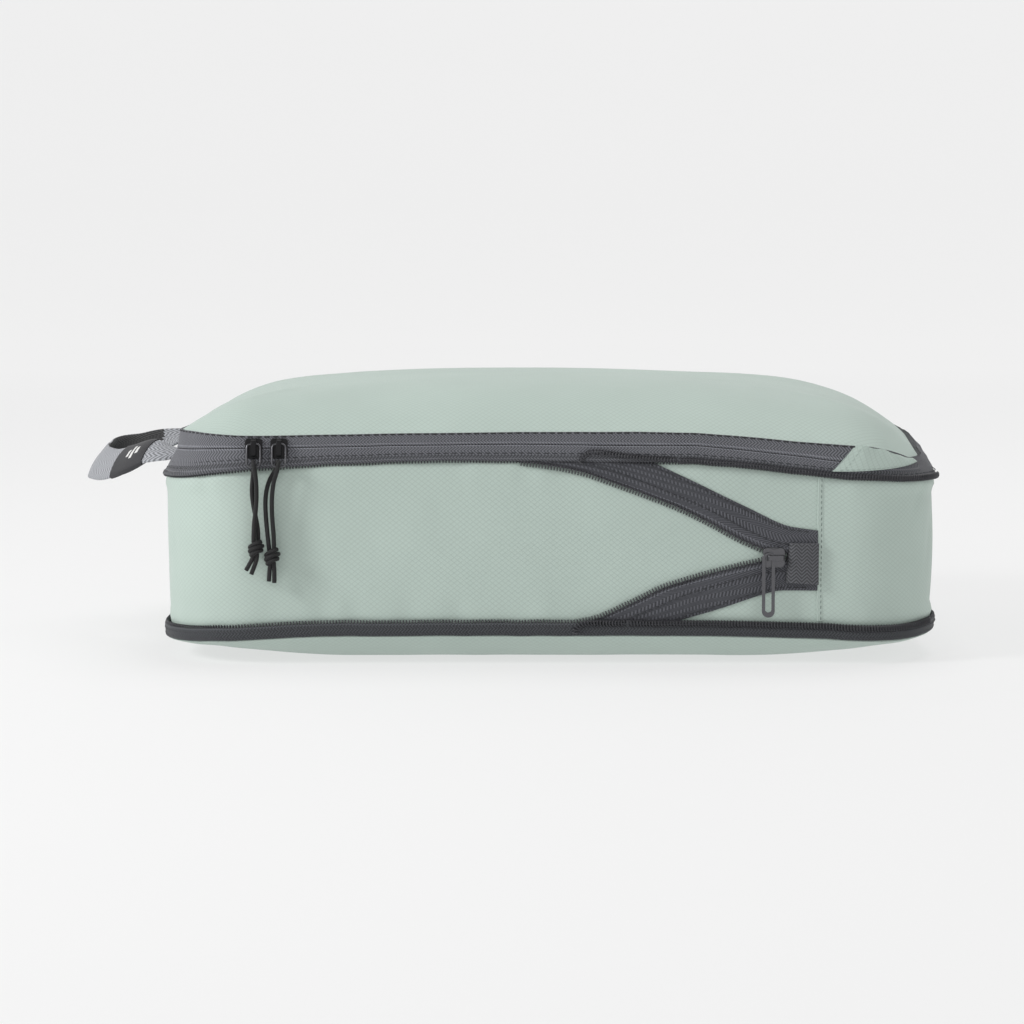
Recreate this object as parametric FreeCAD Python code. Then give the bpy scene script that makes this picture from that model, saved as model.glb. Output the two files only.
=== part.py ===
"""Compression packing cube: a soft zipped box with a second zip that squeezes it flat.

Frame: origin at the centre of the flat bottom face, +X along the length away from
the handle, -Y towards the front, +Z up. Millimetres.

A layer is placed by its offset from the tape face, the vertical surface on which the
compression tapes lie. A positive offset is further out, a negative one further in.
"""
import FreeCAD, Part
import math
import os

from FreeCAD import Vector

# ---- driving dimensions -------------------------------------------------------------
HALF_LENGTH = 183.5       # tape face, half of the long side
HALF_DEPTH = 123.0        # tape face, half of the short side
CORNER_RADIUS = 44.0      # tape face, at the four vertical corners
WALL_THICKNESS = 1.0      # lined fabric
WALL_OFFSET = -2.5        # outer face of the side wall

BOTTOM_RIM_Z = 11.5       # bottom panel is sewn to the wall and lower tape here
LOWER_TAPE_TOP_Z = 18.0
LOWER_COIL_Z = (15.6, 18.6)
UPPER_COIL_Z = (92.6, 95.6)
UPPER_TAPE_Z = (93.4, 99.5)
WALL_TOP_Z = 99.5
MAIN_LOWER_TAPE_Z = (96.0, 101.4)
MAIN_LOWER_COIL_Z = (99.8, 101.4)
MAIN_UPPER_TAPE_Z = (102.6, 108.5)
MAIN_UPPER_COIL_Z = (102.6, 104.2)
LID_EDGE_Z = 108.5
MAIN_ZIP_END_X = 155.0    # both ends of the main zip stop here, front and back

TAPE_THICKNESS = 0.7
COIL_THICKNESS = 1.5

WALL_SEAM_X = 125.3       # vertical lap seams, front and back
MID_Z = 51.0              # where the two diagonals meet

SLIDER_LEFT_X = -138.0
SLIDER_RIGHT_X = -126.2
RING_WIRE = 1.0
CORD_DIAMETER = 2.1

COMPRESSION_SLIDER_X = (99.4, 109.6)
PULL_PIN_X = 101.9

HANDLE_ROOT_X = -189.1     # the strap starts here, past the turn at its sewn ends
HANDLE_ANCHOR_X = -187.7
HANDLE_Z = 98.5           # height of the sewn ends
STRAP_Z = 90.0            # the free loop droops below its ends
STRAP_WIDTH = 20.0
STRAP_THICKNESS = 1.6


# ---- general helpers ----------------------------------------------------------------
def save(name, shape):
    """Write one sub-part as a STEP file named after its node."""
    shape.exportStep("parts/" + name + ".step")


def rounded_wire(offset, z, radius=None):
    """The cube's plan outline moved out by offset, at height z."""
    half_x = HALF_LENGTH + offset
    half_y = HALF_DEPTH + offset
    r = CORNER_RADIUS + offset if radius is None else radius
    edges = []
    corners = [(1, 1, 0), (-1, 1, 90), (-1, -1, 180), (1, -1, 270)]
    ends = []
    for side_x, side_y, start in corners:
        centre = Vector(side_x * (half_x - r), side_y * (half_y - r), z)
        arc = Part.makeCircle(r, centre, Vector(0, 0, 1), start, start + 90)
        ends.append(arc)
    for index, arc in enumerate(ends):
        following = ends[(index + 1) % len(ends)]
        edges.append(arc)
        edges.append(Part.makeLine(arc.Vertexes[-1].Point, following.Vertexes[0].Point))
    return Part.Wire(edges)


def block(offset, low, high):
    """A solid prism with the cube's plan outline."""
    face = Part.Face(rounded_wire(offset, low))
    return face.extrude(Vector(0, 0, high - low))


def band(inner, outer, low, high):
    """A closed band round the cube, between two offsets and two heights."""
    return block(outer, low, high).cut(block(inner, low, high))


def box(low, high):
    """A box from its two extreme corners."""
    size = Vector(*high) - Vector(*low)
    return Part.makeBox(size.x, size.y, size.z, Vector(*low))


def right_of(x):
    """Everything beyond a plane across the length."""
    return box((x, -400, -100), (400, 400, 300))


def stacked_shell(outer, inner):
    """A thin dish between two stacks of (offset, z, radius) outlines."""
    skins = []
    for sections in (outer, inner):
        wires = [rounded_wire(*section) for section in sections]
        skins.append(Part.makeLoft(wires, True, True))
    return skins[0].cut(skins[1])


def front_plate(points, low_offset, high_offset):
    """A flat plate on the front, from (x, z) points, between two offsets."""
    y = -HALF_DEPTH - high_offset
    corners = [Vector(x, y, z) for x, z in points]
    face = Part.Face(Part.makePolygon(corners + corners[:1]))
    return face.extrude(Vector(0, high_offset - low_offset, 0))


def front_box(x, offset, z):
    """A box on the front from three (low, high) pairs; the middle one is offsets."""
    low = (x[0], -HALF_DEPTH - offset[1], z[0])
    high = (x[1], -HALF_DEPTH - offset[0], z[1])
    return box(low, high)


def front_point(x, offset, z):
    """A point on the front from its offset."""
    return Vector(x, -HALF_DEPTH - offset, z)


def stadium_plate(centre_x, width, z, offset):
    """An upright plate with round ends on the front."""
    r = width / 2
    depth = offset[1] - offset[0]
    shape = front_box((centre_x - r, centre_x + r), offset, (z[0] + r, z[1] - r))
    for end_z in (z[0] + r, z[1] - r):
        start = front_point(centre_x, offset[1], end_z)
        shape = shape.fuse(Part.makeCylinder(r, depth, start, Vector(0, 1, 0)))
    return shape.removeSplitter()


# ---- swept round sections -----------------------------------------------------------
def rounded_path(points, label):
    """Straight runs joined by tangent arcs through a list of points, and its length."""
    edges = []
    length = 0.0
    radii = []
    here = points[0]
    for before, corner, after in zip(points, points[1:], points[2:]):
        run_in = (corner - before).normalize()
        run_out = (after - corner).normalize()
        turn = run_in.getAngle(run_out)
        shorter = min(corner.distanceToPoint(before), after.distanceToPoint(corner))
        setback = 0.45 * shorter
        radius = setback / math.tan(turn / 2)
        radii.append(radius)
        start = corner - run_in * setback
        end = corner + run_out * setback
        inward = (run_out - run_in).normalize()
        middle = corner + inward * (radius / math.cos(turn / 2) - radius)
        edges.append(Part.LineSegment(here, start).toShape())
        edges.append(Part.Arc(start, middle, end).toShape())
        length += here.distanceToPoint(start) + radius * turn
        here = end
    edges.append(Part.LineSegment(here, points[-1]).toShape())
    length += here.distanceToPoint(points[-1])
    print(label, "length", round(length, 1), "radii", [round(r, 1) for r in radii])
    return Part.Wire(edges), length


def tube(points, diameter, label):
    """A round cord along a route, with its volume compared with section times length."""
    path, length = rounded_path(points, label)
    start_direction = points[1] - points[0]
    circle = Part.makeCircle(diameter / 2, points[0], start_direction)
    solid = path.makePipeShell([Part.Wire(circle)], True, False)
    section = math.pi * diameter ** 2 / 4
    print(label, "volume ratio", round(solid.Volume / (section * length), 4))
    return solid


# ---- base: bottom panel, lower zip half, walls --------------------------------------
def make_bottom_panel():
    """A shallow dish with a flat face to stand on."""
    outer = [(-36, 0.0, 20), (-14, 2.5, 32), (-3, 6.5, 41), (0.7, BOTTOM_RIM_Z, 44.7)]
    inner = [(-36, 1.2, 20), (-14, 3.7, 32), (-5.2, 7.6, 39), (-3.5, BOTTOM_RIM_Z, 40.5)]
    return stacked_shell(outer, inner)


def make_walls():
    """The main wall with its left end, and the separate right end panel."""
    inner = WALL_OFFSET - WALL_THICKNESS
    whole = band(inner, WALL_OFFSET, BOTTOM_RIM_Z, WALL_TOP_Z)
    return {
        "side_wall": whole.cut(right_of(WALL_SEAM_X)),
        "end_wall": whole.common(right_of(WALL_SEAM_X)),
    }


def make_wall_seams():
    """Topstitched lap strips over the two vertical joins of the wall."""
    lap = (WALL_SEAM_X, WALL_SEAM_X + 4.0)
    front = front_box(lap, (WALL_OFFSET, -2.0), (20, 92))
    rear = front.mirror(Vector(0, 0, 0), Vector(0, 1, 0))
    return {"wall_seam_front": front, "wall_seam_rear": rear}


UPPER_COIL_LINE = [(25.6, 89.7), (99.5, 53.2), (104.0, 51.6), (124.6, 51.6)]
LOWER_COIL_LINE = [(26.0, 21.7), (42.1, 26.9), (70.1, 38.6), (99.0, 48.9),
                   (104.0, 50.4), (124.6, 50.4)]


def make_diagonals():
    """The two zip halves that leave the rims and meet in the compression slider."""
    tape = (-0.9, -0.2)
    upper = [(13.5, 95.5), (20.6, 92.2), (99.5, 53.2), (104.0, 51.6), (WALL_SEAM_X, 51.6),
             (WALL_SEAM_X, 65.2), (108.9, 65.7), (47.5, 95.5)]
    lower = [(5.0, 15.0), (22.0, 20.4), (42.1, 26.9), (70.1, 38.6), (99.0, 48.9),
             (104.0, 50.4), (WALL_SEAM_X, 50.4), (WALL_SEAM_X, 35.3), (106.0, 34.6),
             (100.5, 30.6), (61.0, 15.0)]
    coil = (-0.2, 1.3)
    return {
        "upper_diagonal_tape": front_plate(upper, *tape),
        "lower_diagonal_tape": front_plate(lower, *tape),
        "upper_diagonal_coil": front_plate(thick_line(UPPER_COIL_LINE, 2.4), *coil),
        "lower_diagonal_coil": front_plate(thick_line(LOWER_COIL_LINE, -2.4), *coil),
    }


def thick_line(line, height):
    """A strip above (or below) a line of (x, z) points."""
    raised = [(x, z + height) for x, z in reversed(line)]
    return line + raised


def make_base():
    """Everything that stays with the bottom panel."""
    parts = {"bottom_panel": make_bottom_panel()}
    wall_inner = WALL_OFFSET - WALL_THICKNESS
    parts["lower_binding"] = band(wall_inner - 0.8, wall_inner, BOTTOM_RIM_Z, 18.9)
    parts["lower_compression_tape"] = band(0, TAPE_THICKNESS, BOTTOM_RIM_Z, LOWER_TAPE_TOP_Z)
    parts["lower_compression_coil"] = band(
        TAPE_THICKNESS, TAPE_THICKNESS + COIL_THICKNESS, *LOWER_COIL_Z)
    parts.update(make_walls())
    parts.update(make_wall_seams())
    parts.update(make_diagonals())
    return parts


# ---- top rim ------------------------------------------------------------------------
def make_top_rim():
    """The upper zip half, the lower half of the main zip and the lid's hinge."""
    wall_inner = WALL_OFFSET - WALL_THICKNESS
    beyond_zip = right_of(MAIN_ZIP_END_X)
    tape_outer = 2 * TAPE_THICKNESS
    patch = band(tape_outer, tape_outer + 0.6, 96.2, 101.9)
    patch_front = patch.common(box((136, -400, 0), (176, -70, 300)))
    lower_tape = band(TAPE_THICKNESS, tape_outer, *MAIN_LOWER_TAPE_Z)
    lower_coil = band(TAPE_THICKNESS - COIL_THICKNESS, TAPE_THICKNESS, *MAIN_LOWER_COIL_Z)
    hinge = band(-1.0, TAPE_THICKNESS, UPPER_TAPE_Z[1], 101.9)
    return {
        "upper_compression_tape": band(0, TAPE_THICKNESS, *UPPER_TAPE_Z),
        "upper_compression_coil": band(
            TAPE_THICKNESS, TAPE_THICKNESS + COIL_THICKNESS, *UPPER_COIL_Z),
        "upper_seam": band(WALL_OFFSET, 0, 97.0, WALL_TOP_Z),
        "upper_binding": band(wall_inner - 0.8, wall_inner, 92.0, WALL_TOP_Z),
        "main_zip_lower_tape": lower_tape.cut(beyond_zip),
        "main_zip_lower_coil": lower_coil.cut(beyond_zip),
        "lid_hinge_strip": hinge.common(right_of(MAIN_ZIP_END_X + 0.4)),
        "zip_end_patch_front": patch_front,
        "zip_end_patch_rear": patch_front.mirror(Vector(0, 0, 0), Vector(0, 1, 0)),
    }


# ---- lid ----------------------------------------------------------------------------
def make_top_panel():
    """The domed lid fabric, with a plain fold down to the hinge at the right end."""
    outer = [(1.4, LID_EDGE_Z, 45.4), (-6, 114.0, 40), (-20, 119.5, 34),
             (-45, 125.5, 28), (-80, 129.5, 20)]
    inner = [(0.0, LID_EDGE_Z, 44.0), (-7, 112.8, 39), (-21, 118.3, 33),
             (-45, 124.3, 28), (-80, 128.3, 20)]
    dome = stacked_shell(outer, inner)
    fold = band(0.0, 1.0, 102.4, LID_EDGE_Z).common(right_of(MAIN_ZIP_END_X + 0.4))
    return dome.fuse(fold).removeSplitter()


def make_lid():
    """The top panel and the upper half of the main zip."""
    beyond_zip = right_of(MAIN_ZIP_END_X)
    upper_tape = band(TAPE_THICKNESS, 2 * TAPE_THICKNESS, *MAIN_UPPER_TAPE_Z)
    upper_coil = band(TAPE_THICKNESS - COIL_THICKNESS, TAPE_THICKNESS, *MAIN_UPPER_COIL_Z)
    binding = band(0.0, TAPE_THICKNESS, MAIN_UPPER_COIL_Z[1] + 0.2, LID_EDGE_Z)
    return {
        "top_panel": make_top_panel(),
        "main_zip_upper_tape": upper_tape.cut(beyond_zip),
        "main_zip_upper_coil": upper_coil.cut(beyond_zip),
        "lid_binding": binding.cut(beyond_zip),
    }


# ---- main zip sliders, rings and cord pulls -----------------------------------------
RING_HALF_WIDTH = 3.1
RING_TOP_Z = 104.2
RING_BOTTOM_Z = 93.8
RING_TOP_OFFSET = 3.3
RING_BOTTOM_OFFSET = 5.65
RING_CORNER = 1.6


def make_slider_body(x):
    """Outer plate, inner plate and the post that joins them between the zip halves."""
    outer = front_box((x - 4, x + 4), (1.7, 2.6), (97.2, 106.8))
    inner = front_box((x - 4, x + 4), (-2.2, -1.3), (99.8, 104.6))
    post = front_box((x - 0.8, x + 0.8), (-1.3, 1.7), (101.6, 102.4))
    return outer.fuse([inner, post]).removeSplitter()


def make_slider_crown(x):
    """The bridge on the outer plate that holds the ring."""
    shape = front_box((x - 1.2, x + 1.2), (4.1, 4.9), (98.4, 106.2))
    for leg in ((98.4, 99.3), (105.3, 106.2)):
        shape = shape.fuse(front_box((x - 1.2, x + 1.2), (2.6, 4.1), leg))
    return shape.removeSplitter()


def make_ring(x):
    """A bent wire loop: a round-cornered rectangle that leans out from the crown."""
    drop = RING_TOP_Z - RING_BOTTOM_Z
    lean = RING_BOTTOM_OFFSET - RING_TOP_OFFSET
    height = math.hypot(drop, lean)
    half = RING_HALF_WIDTH
    pivot = front_point(x, RING_TOP_OFFSET, RING_TOP_Z)
    centre = pivot - Vector(0, 0, height / 2)
    outline = Part.makePolygon([
        centre + Vector(half, 0, height / 2), centre + Vector(half, 0, -height / 2),
        centre + Vector(-half, 0, -height / 2), centre + Vector(-half, 0, height / 2),
        centre + Vector(half, 0, height / 2)])
    path = round_corners(outline, RING_CORNER)
    first = path.OrderedEdges[0]
    start = first.valueAt(first.FirstParameter)
    circle = Part.makeCircle(RING_WIRE / 2, start, first.tangentAt(first.FirstParameter))
    ring = path.makePipeShell([Part.Wire(circle)], True, False)
    return ring.rotate(pivot, Vector(1, 0, 0), -math.degrees(math.atan2(lean, drop)))


def round_corners(outline, radius):
    """A closed flat outline of four corners with each one rounded."""
    points = [vertex.Point for vertex in outline.OrderedVertexes]
    edges = []
    turns = []
    for index, corner in enumerate(points):
        to_before = (points[index - 1] - corner).normalize()
        to_after = (points[(index + 1) % len(points)] - corner).normalize()
        inward = (to_before + to_after).normalize()
        middle = corner + inward * radius * (math.sqrt(2) - 1)
        turns.append((corner + to_before * radius, middle, corner + to_after * radius))
    for index, turn in enumerate(turns):
        following = turns[(index + 1) % len(turns)]
        edges.append(Part.LineSegment(turn[2], following[0]).toShape())
        edges.append(Part.Arc(*following).toShape())
    return Part.Wire(edges)


def cord_route(x, route):
    """Route points from (x beside the slider, offset, z)."""
    return [front_point(x + dx, offset, z) for dx, offset, z in route]


RIGHT_ROUTE = [(-4.6, 5.9, 55.6), (-4.9, 5.9, 61.0), (-4.6, 5.6, 71.0), (-3.4, 5.0, 80.0),
               (-1.6, 3.9, 87.0), (-0.4, 3.4, 91.8), (-0.2, 3.4, 96.1), (0.2, 7.9, 96.1),
               (0.4, 7.9, 91.6), (0.9, 7.6, 86.6), (0.4, 6.8, 78.0), (-0.9, 6.2, 69.0),
               (-1.9, 5.9, 61.0), (-2.0, 5.9, 55.6)]
LEFT_ROUTE = [(-0.5, 5.2, 59.2), (-0.9, 5.1, 63.0), (1.0, 4.6, 69.0), (3.2, 4.8, 76.0),
              (3.4, 4.8, 82.4), (1.9, 3.9, 87.6), (0.5, 3.4, 91.8), (0.2, 3.4, 96.1),
              (0.0, 7.9, 96.1), (0.2, 7.9, 91.6), (0.6, 7.7, 86.8), (0.5, 7.6, 80.0),
              (1.6, 7.5, 73.0), (2.6, 7.3, 66.0), (2.4, 7.1, 59.2)]


def make_knot(x, z, top, tails):
    """An overhand knot as a squat barrel with its two cut tails below."""
    offset = 6.0
    barrel = Part.makeCylinder(3.1, top - z, front_point(x, offset, z))
    tail_shapes = []
    for dx, lean, bottom in tails:
        start = front_point(x + dx, offset, z)
        end = front_point(x + dx + lean, offset, bottom)
        axis = end - start
        tail_shapes.append(Part.makeCylinder(CORD_DIAMETER / 2, axis.Length, start, axis))
    sunk = [tail.cut(barrel) for tail in tail_shapes]
    above = box((x - 20, -400, z), (x + 20, 0, 400))
    return barrel.fuse([tail.cut(above) for tail in sunk]).removeSplitter()


def make_main_pulls():
    """Both sliders with their rings, cord loops and knots."""
    right_tails = [(-1.5, -1.0, 40.5), (1.4, 1.0, 39.5)]
    left_tails = [(-1.6, -4.4, 46.6), (1.2, -2.6, 43.6)]
    return {
        "slider_left_body": make_slider_body(SLIDER_LEFT_X),
        "slider_left_crown": make_slider_crown(SLIDER_LEFT_X),
        "slider_right_body": make_slider_body(SLIDER_RIGHT_X),
        "slider_right_crown": make_slider_crown(SLIDER_RIGHT_X),
        "ring_left": make_ring(SLIDER_LEFT_X),
        "ring_right": make_ring(SLIDER_RIGHT_X),
        "cord_left": tube(cord_route(SLIDER_LEFT_X, LEFT_ROUTE), CORD_DIAMETER, "cord_left"),
        "cord_right": tube(cord_route(SLIDER_RIGHT_X, RIGHT_ROUTE), CORD_DIAMETER, "cord_right"),
        "knot_left": make_knot(SLIDER_LEFT_X + 1.0, 51.4, 59.2, left_tails),
        "knot_right": make_knot(SLIDER_RIGHT_X - 3.3, 47.4, 55.6, right_tails),
    }


# ---- compression slider -------------------------------------------------------------
def make_compression_slider():
    """The metal slider, its bridge with a round left leg, and the looped pull."""
    x = COMPRESSION_SLIDER_X
    z = (MID_Z - 4.8, MID_Z + 4.8)
    outer = front_box(x, (2.5, 3.3), z)
    inner = front_box(x, (-2.2, -1.3), z)
    post = front_box((x[0] + 0.8, x[0] + 2.2), (-1.3, 2.5), (MID_Z - 0.4, MID_Z + 0.4))
    leg = Part.makeCylinder(0.8, 2.0, front_point(PULL_PIN_X, 5.3, MID_Z), Vector(0, 1, 0))
    bar = front_box((PULL_PIN_X - 1.2, x[1] - 0.4), (5.0, 5.8), (MID_Z - 1.4, MID_Z + 1.4))
    far_leg = front_box((x[1] - 1.3, x[1] - 0.4), (3.3, 5.0), (MID_Z - 1.4, MID_Z + 1.4))
    frame = stadium_plate(PULL_PIN_X, 6.0, (23.0, 53.6), (3.6, 4.7))
    slot = stadium_plate(PULL_PIN_X, 2.9, (25.4, 52.2), (3.0, 5.0))
    return {
        "compression_slider_body": outer.fuse([inner, post]).removeSplitter(),
        "compression_slider_crown": bar.fuse([far_leg, leg]).removeSplitter(),
        "compression_pull": frame.cut(slot),
    }


def make_slider_garage():
    """The folded grosgrain tab that covers the zip's parked end."""
    outline = [(110.2, 38.6), (111.9, 58.2), (WALL_SEAM_X, 59.2), (WALL_SEAM_X, 38.2)]
    return front_plate(outline, 2.4, 3.3)


# ---- grab handle --------------------------------------------------------------------
HANDLE_OUTLINE = [(-196.0, 43.0), (-210.0, 40.0), (-225.0, 27.0), (-235.0, 6.0),
                  (-227.0, -20.0), (-212.0, -36.0), (-196.0, -43.0)]


def strap_ribbon(thickness, height):
    """The strap standing on edge along its outline in plan."""
    points = [Vector(x, y, STRAP_Z) for x, y in HANDLE_OUTLINE]
    path, _ = rounded_path(points, "handle strap")
    direction = (points[1] - points[0]).normalize()
    across = Vector(0, 0, 1).cross(direction) * (thickness / 2)
    up = Vector(0, 0, height / 2)
    start = points[0]
    corners = [start - across - up, start + across - up, start + across + up,
               start - across + up]
    profile = Part.makePolygon(corners + corners[:1])
    return path.makePipeShell([profile], True, False)


def make_handle():
    """A webbing loop on edge with flat sewn ends, and the sleeve round its near side."""
    strap = strap_ribbon(STRAP_THICKNESS, STRAP_WIDTH)
    half = STRAP_THICKNESS / 2
    for side in (1, -1):
        low_y = min(side * 34.0, side * 52.0)
        root = box((-203.0, low_y, HANDLE_Z - half),
                   (HANDLE_ROOT_X, low_y + 18.0, HANDLE_Z + half))
        strap = strap.fuse(root)
    strap = strap.removeSplitter()
    sleeve = strap_ribbon(STRAP_THICKNESS + 1.2, STRAP_WIDTH + 1.2)
    sleeve = sleeve.common(box((-222.0, -80, 60), (-202.0, -8, 140))).cut(strap)
    return {"handle_strap": strap, "handle_label": sleeve}


def make_handle_anchors():
    """The two strap ends that stay sewn into the rim's seam."""
    seam_face_x = -HALF_LENGTH - 2 * TAPE_THICKNESS
    half = STRAP_THICKNESS / 2
    near = box((HANDLE_ANCHOR_X, -52.0, HANDLE_Z - half),
               (seam_face_x, -34.0, HANDLE_Z + half))
    return Part.makeCompound([near, near.mirror(Vector(0, 0, 0), Vector(0, 1, 0))])


# ---- the whole cube -----------------------------------------------------------------
def main():
    """Write every sub-part."""
    os.makedirs("parts", exist_ok=True)
    parts = make_base()
    parts.update(make_top_rim())
    parts.update(make_lid())
    parts.update(make_main_pulls())
    parts.update(make_compression_slider())
    parts["slider_garage_tab"] = make_slider_garage()
    parts["handle_anchors"] = make_handle_anchors()
    parts.update(make_handle())
    for name, shape in parts.items():
        save(name, shape)
        print(name, len(shape.Solids), shape.isValid(), round(shape.Volume, 1))


main()
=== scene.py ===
"""Looks for the compression packing cube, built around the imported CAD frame.

Lengths in the functions below are in millimetres, and meshes are made in metres.
A place on the cube is given as (s, offset, z): s runs round the outline from the left
end of the straight front, and offset is the distance outside the zip tapes' face.
"""

import math

import bmesh
import bpy
import numpy as np
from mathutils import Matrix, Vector


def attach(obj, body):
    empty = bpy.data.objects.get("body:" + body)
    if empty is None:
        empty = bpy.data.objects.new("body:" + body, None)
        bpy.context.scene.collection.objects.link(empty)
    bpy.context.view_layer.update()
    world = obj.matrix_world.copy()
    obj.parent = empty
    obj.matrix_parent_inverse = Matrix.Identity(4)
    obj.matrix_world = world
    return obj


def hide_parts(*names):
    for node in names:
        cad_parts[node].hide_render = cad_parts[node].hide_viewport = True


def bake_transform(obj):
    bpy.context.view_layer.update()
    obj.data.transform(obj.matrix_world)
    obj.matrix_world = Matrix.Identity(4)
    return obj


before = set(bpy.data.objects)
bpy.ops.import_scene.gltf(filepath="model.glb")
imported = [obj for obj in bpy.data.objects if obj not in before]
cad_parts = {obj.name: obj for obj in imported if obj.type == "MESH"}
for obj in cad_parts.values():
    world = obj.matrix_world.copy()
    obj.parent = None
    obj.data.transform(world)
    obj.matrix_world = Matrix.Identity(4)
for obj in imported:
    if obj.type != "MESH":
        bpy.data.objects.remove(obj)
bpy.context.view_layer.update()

MM = 0.001
HALF_X = 183.5
HALF_Y = 123.0
CORNER = 44.0
STRAIGHT_X = HALF_X - CORNER
STRAIGHT_Y = HALF_Y - CORNER
ARC = CORNER * math.pi / 2
RUNS = [2 * STRAIGHT_X, ARC, 2 * STRAIGHT_Y, ARC] * 2
STATIONS = np.concatenate([[0.0], np.cumsum(RUNS)])
PERIMETER = STATIONS[-1]
WALL_SEAM_X = 125.3
SEAM_S = WALL_SEAM_X + STRAIGHT_X
REAR_SEAM_S = STATIONS[4] + STRAIGHT_X - WALL_SEAM_X
ZIP_END_X = 148.5
START_S = 158.0
HINGE_START = 43.0
COIL_PITCH = 1.43
BOTTOM_RIM_Z = 11.5
WALL_TOP_Z = 99.5
LID_EDGE_Z = 108.5
CLOTH_THICKNESS = 0.9
COIL_WIRE = 0.33
CORD_DIAMETER = 2.1
STRIP_HALF_THICKNESS = 0.4
LEFT_SLIDER_X = -138.0
RIGHT_SLIDER_X = -126.2
RING_TOP_Z = 104.2
RING_LOW_Z = 93.8


# ---- the cube's outline and how it sags ----------------------------------------------
def outline(s, offset):
    """Plan position and outward direction at s, for arrays of s and offset."""
    s = np.mod(s, PERIMETER)
    turn = np.radians(np.interp(s, STATIONS, [-90, -90, 0, 0, 90, 90, 180, 180, 270]))
    corner_x = np.array([-1, 1, 1, 1, 1, -1, -1, -1, -1]) * STRAIGHT_X
    corner_y = np.array([-1, -1, -1, 1, 1, 1, 1, -1, -1]) * STRAIGHT_Y
    out_x, out_y = np.cos(turn), np.sin(turn)
    x = np.interp(s, STATIONS, corner_x) + (CORNER + offset) * out_x
    y = np.interp(s, STATIONS, corner_y) + (CORNER + offset) * out_y
    return x, y, out_x, out_y


def round_table(knots, blur=36.0):
    """A closed function of s that follows (s, value) pairs, with its corners smoothed."""
    steps = 1150
    s = np.arange(steps) * PERIMETER / steps
    places = [k[0] for k in knots]
    values = [k[1] for k in knots]
    rough = np.interp(s, places, values, period=PERIMETER)
    half = int(blur / 2)
    window = np.hanning(2 * half + 1)
    padded = np.concatenate([rough[-half:], rough, rough[:half]])
    smooth = np.convolve(padded, window / window.sum(), "valid")
    return lambda at: np.interp(np.mod(at, PERIMETER), s, smooth, period=PERIMETER)


LID_DIP = round_table([
    (0, -0.9), (60, 0.2), (116, 0.9), (181, 1.1), (209, 0.5), (237, -1.7), (256, -3.7),
    (279, -5.2), (290, -6.2), (301, -8.4), (320, -12.8), (348, -12.6), (427, -8.6),
    (506, -8.4), (540, -7.0), (562, -4.0), (580, -2.0), (715, 1.0), (854, -1.5), (923, -3.2),
    (1002, -2.6), (1081, 0.0), (1116, 0.2)], 16)
ZIP_DIP = round_table([
    (0, 0.0), (20, 0.3), (60, 1.2), (116, 2.0), (181, 1.3), (209, 1.3), (237, -1.5),
    (256, -3.7), (270, -5.7), (279, -6.4), (313, -7.0), (348, -6.2), (427, -1.6),
    (506, -1.4), (575, -2.0), (715, 1.0), (854, -1.5), (923, -2.5), (1002, -3.0),
    (1081, -3.0), (1116, -1.4), (1135, -0.4)], 24)
RIM_DIP = round_table([
    (0, -1.6), (40, 1.2), (92, 3.0), (145, 2.2), (181, 2.3), (209, 1.8), (237, -0.5),
    (256, -3.1), (279, -5.2), (306, -7.0), (348, -7.8), (427, -5.0), (506, -4.5),
    (575, -2.5), (715, 1.0), (854, -2.0), (923, -4.0), (1002, -5.0), (1081, -7.6),
    (1116, -6.0), (1135, -3.6)], 24)
FLOOR_RISE = round_table([
    (0, 0.9), (30, 2.4), (90, 2.7), (210, 2.7), (264, 1.4), (279, 0.6), (300, -0.4),
    (348, 1.6), (427, 0.3), (575, 0.2), (715, 1.2), (854, 0.2), (1002, -0.6),
    (1081, -2.0), (1116, -1.6)], 24)
TOP_FLARE = round_table([
    (0, 0.0), (250, 0.0), (300, 1.0), (340, 1.7), (400, 0.6), (520, 0.8), (600, 0.0),
    (900, 0.4), (1000, 0.2), (1070, 1.0), (1100, 1.0), (1140, 0.3)], 30)
LOW_FLARE = round_table([
    (0, 0.0), (270, 0.0), (310, 0.7), (345, 1.6), (400, 0.4), (560, 0.5), (700, 0.0),
    (900, 0.3), (1060, 0.4), (1100, 0.5)], 30)
BULGE = round_table([
    (0, 1.6), (40, 1.6), (110, 1.2), (170, 0.3), (262, 0.2), (285, 0.9), (320, 1.3),
    (348, 1.5), (427, 3.0), (506, 2.4), (575, 2.0), (715, 2.6), (854, 2.2), (923, 2.0),
    (1002, 2.8), (1081, 0.9), (1116, 0.9)], 50)
LID_TUCK = round_table([
    (0, 0.0), (282, 0.0), (300, 2.0), (325, 5.0), (348, 5.0), (427, 1.6), (506, 1.6),
    (545, 1.6), (575, 0.0), (870, 0.0), (923, 4.0), (1002, 4.5), (1081, 6.0), (1112, 4.8),
    (1130, 2.0), (1144, 0.2)], 16)


def value_noise(u, v, cell, seed, wraps=False):
    """Soft noise from -1 to 1; when it wraps, u is a place round the outline."""
    columns = max(3, round(PERIMETER / cell)) if wraps else 97
    cell_u = PERIMETER / columns if wraps else cell
    lattice = np.random.default_rng(seed).uniform(-1, 1, (columns, 89))
    a = np.asarray(u, float) / cell_u
    b = np.asarray(v, float) / cell
    i, j = np.floor(a).astype(int), np.floor(b).astype(int)
    fa, fb = a - i, b - j
    fa, fb = fa * fa * (3 - 2 * fa), fb * fb * (3 - 2 * fb)
    left, right = i % columns, (i + 1) % columns
    low, high = j % 89, (j + 1) % 89
    near = lattice[left, low] * (1 - fa) + lattice[right, low] * fa
    far = lattice[left, high] * (1 - fa) + lattice[right, high] * fa
    return near * (1 - fb) + far * fb


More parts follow.
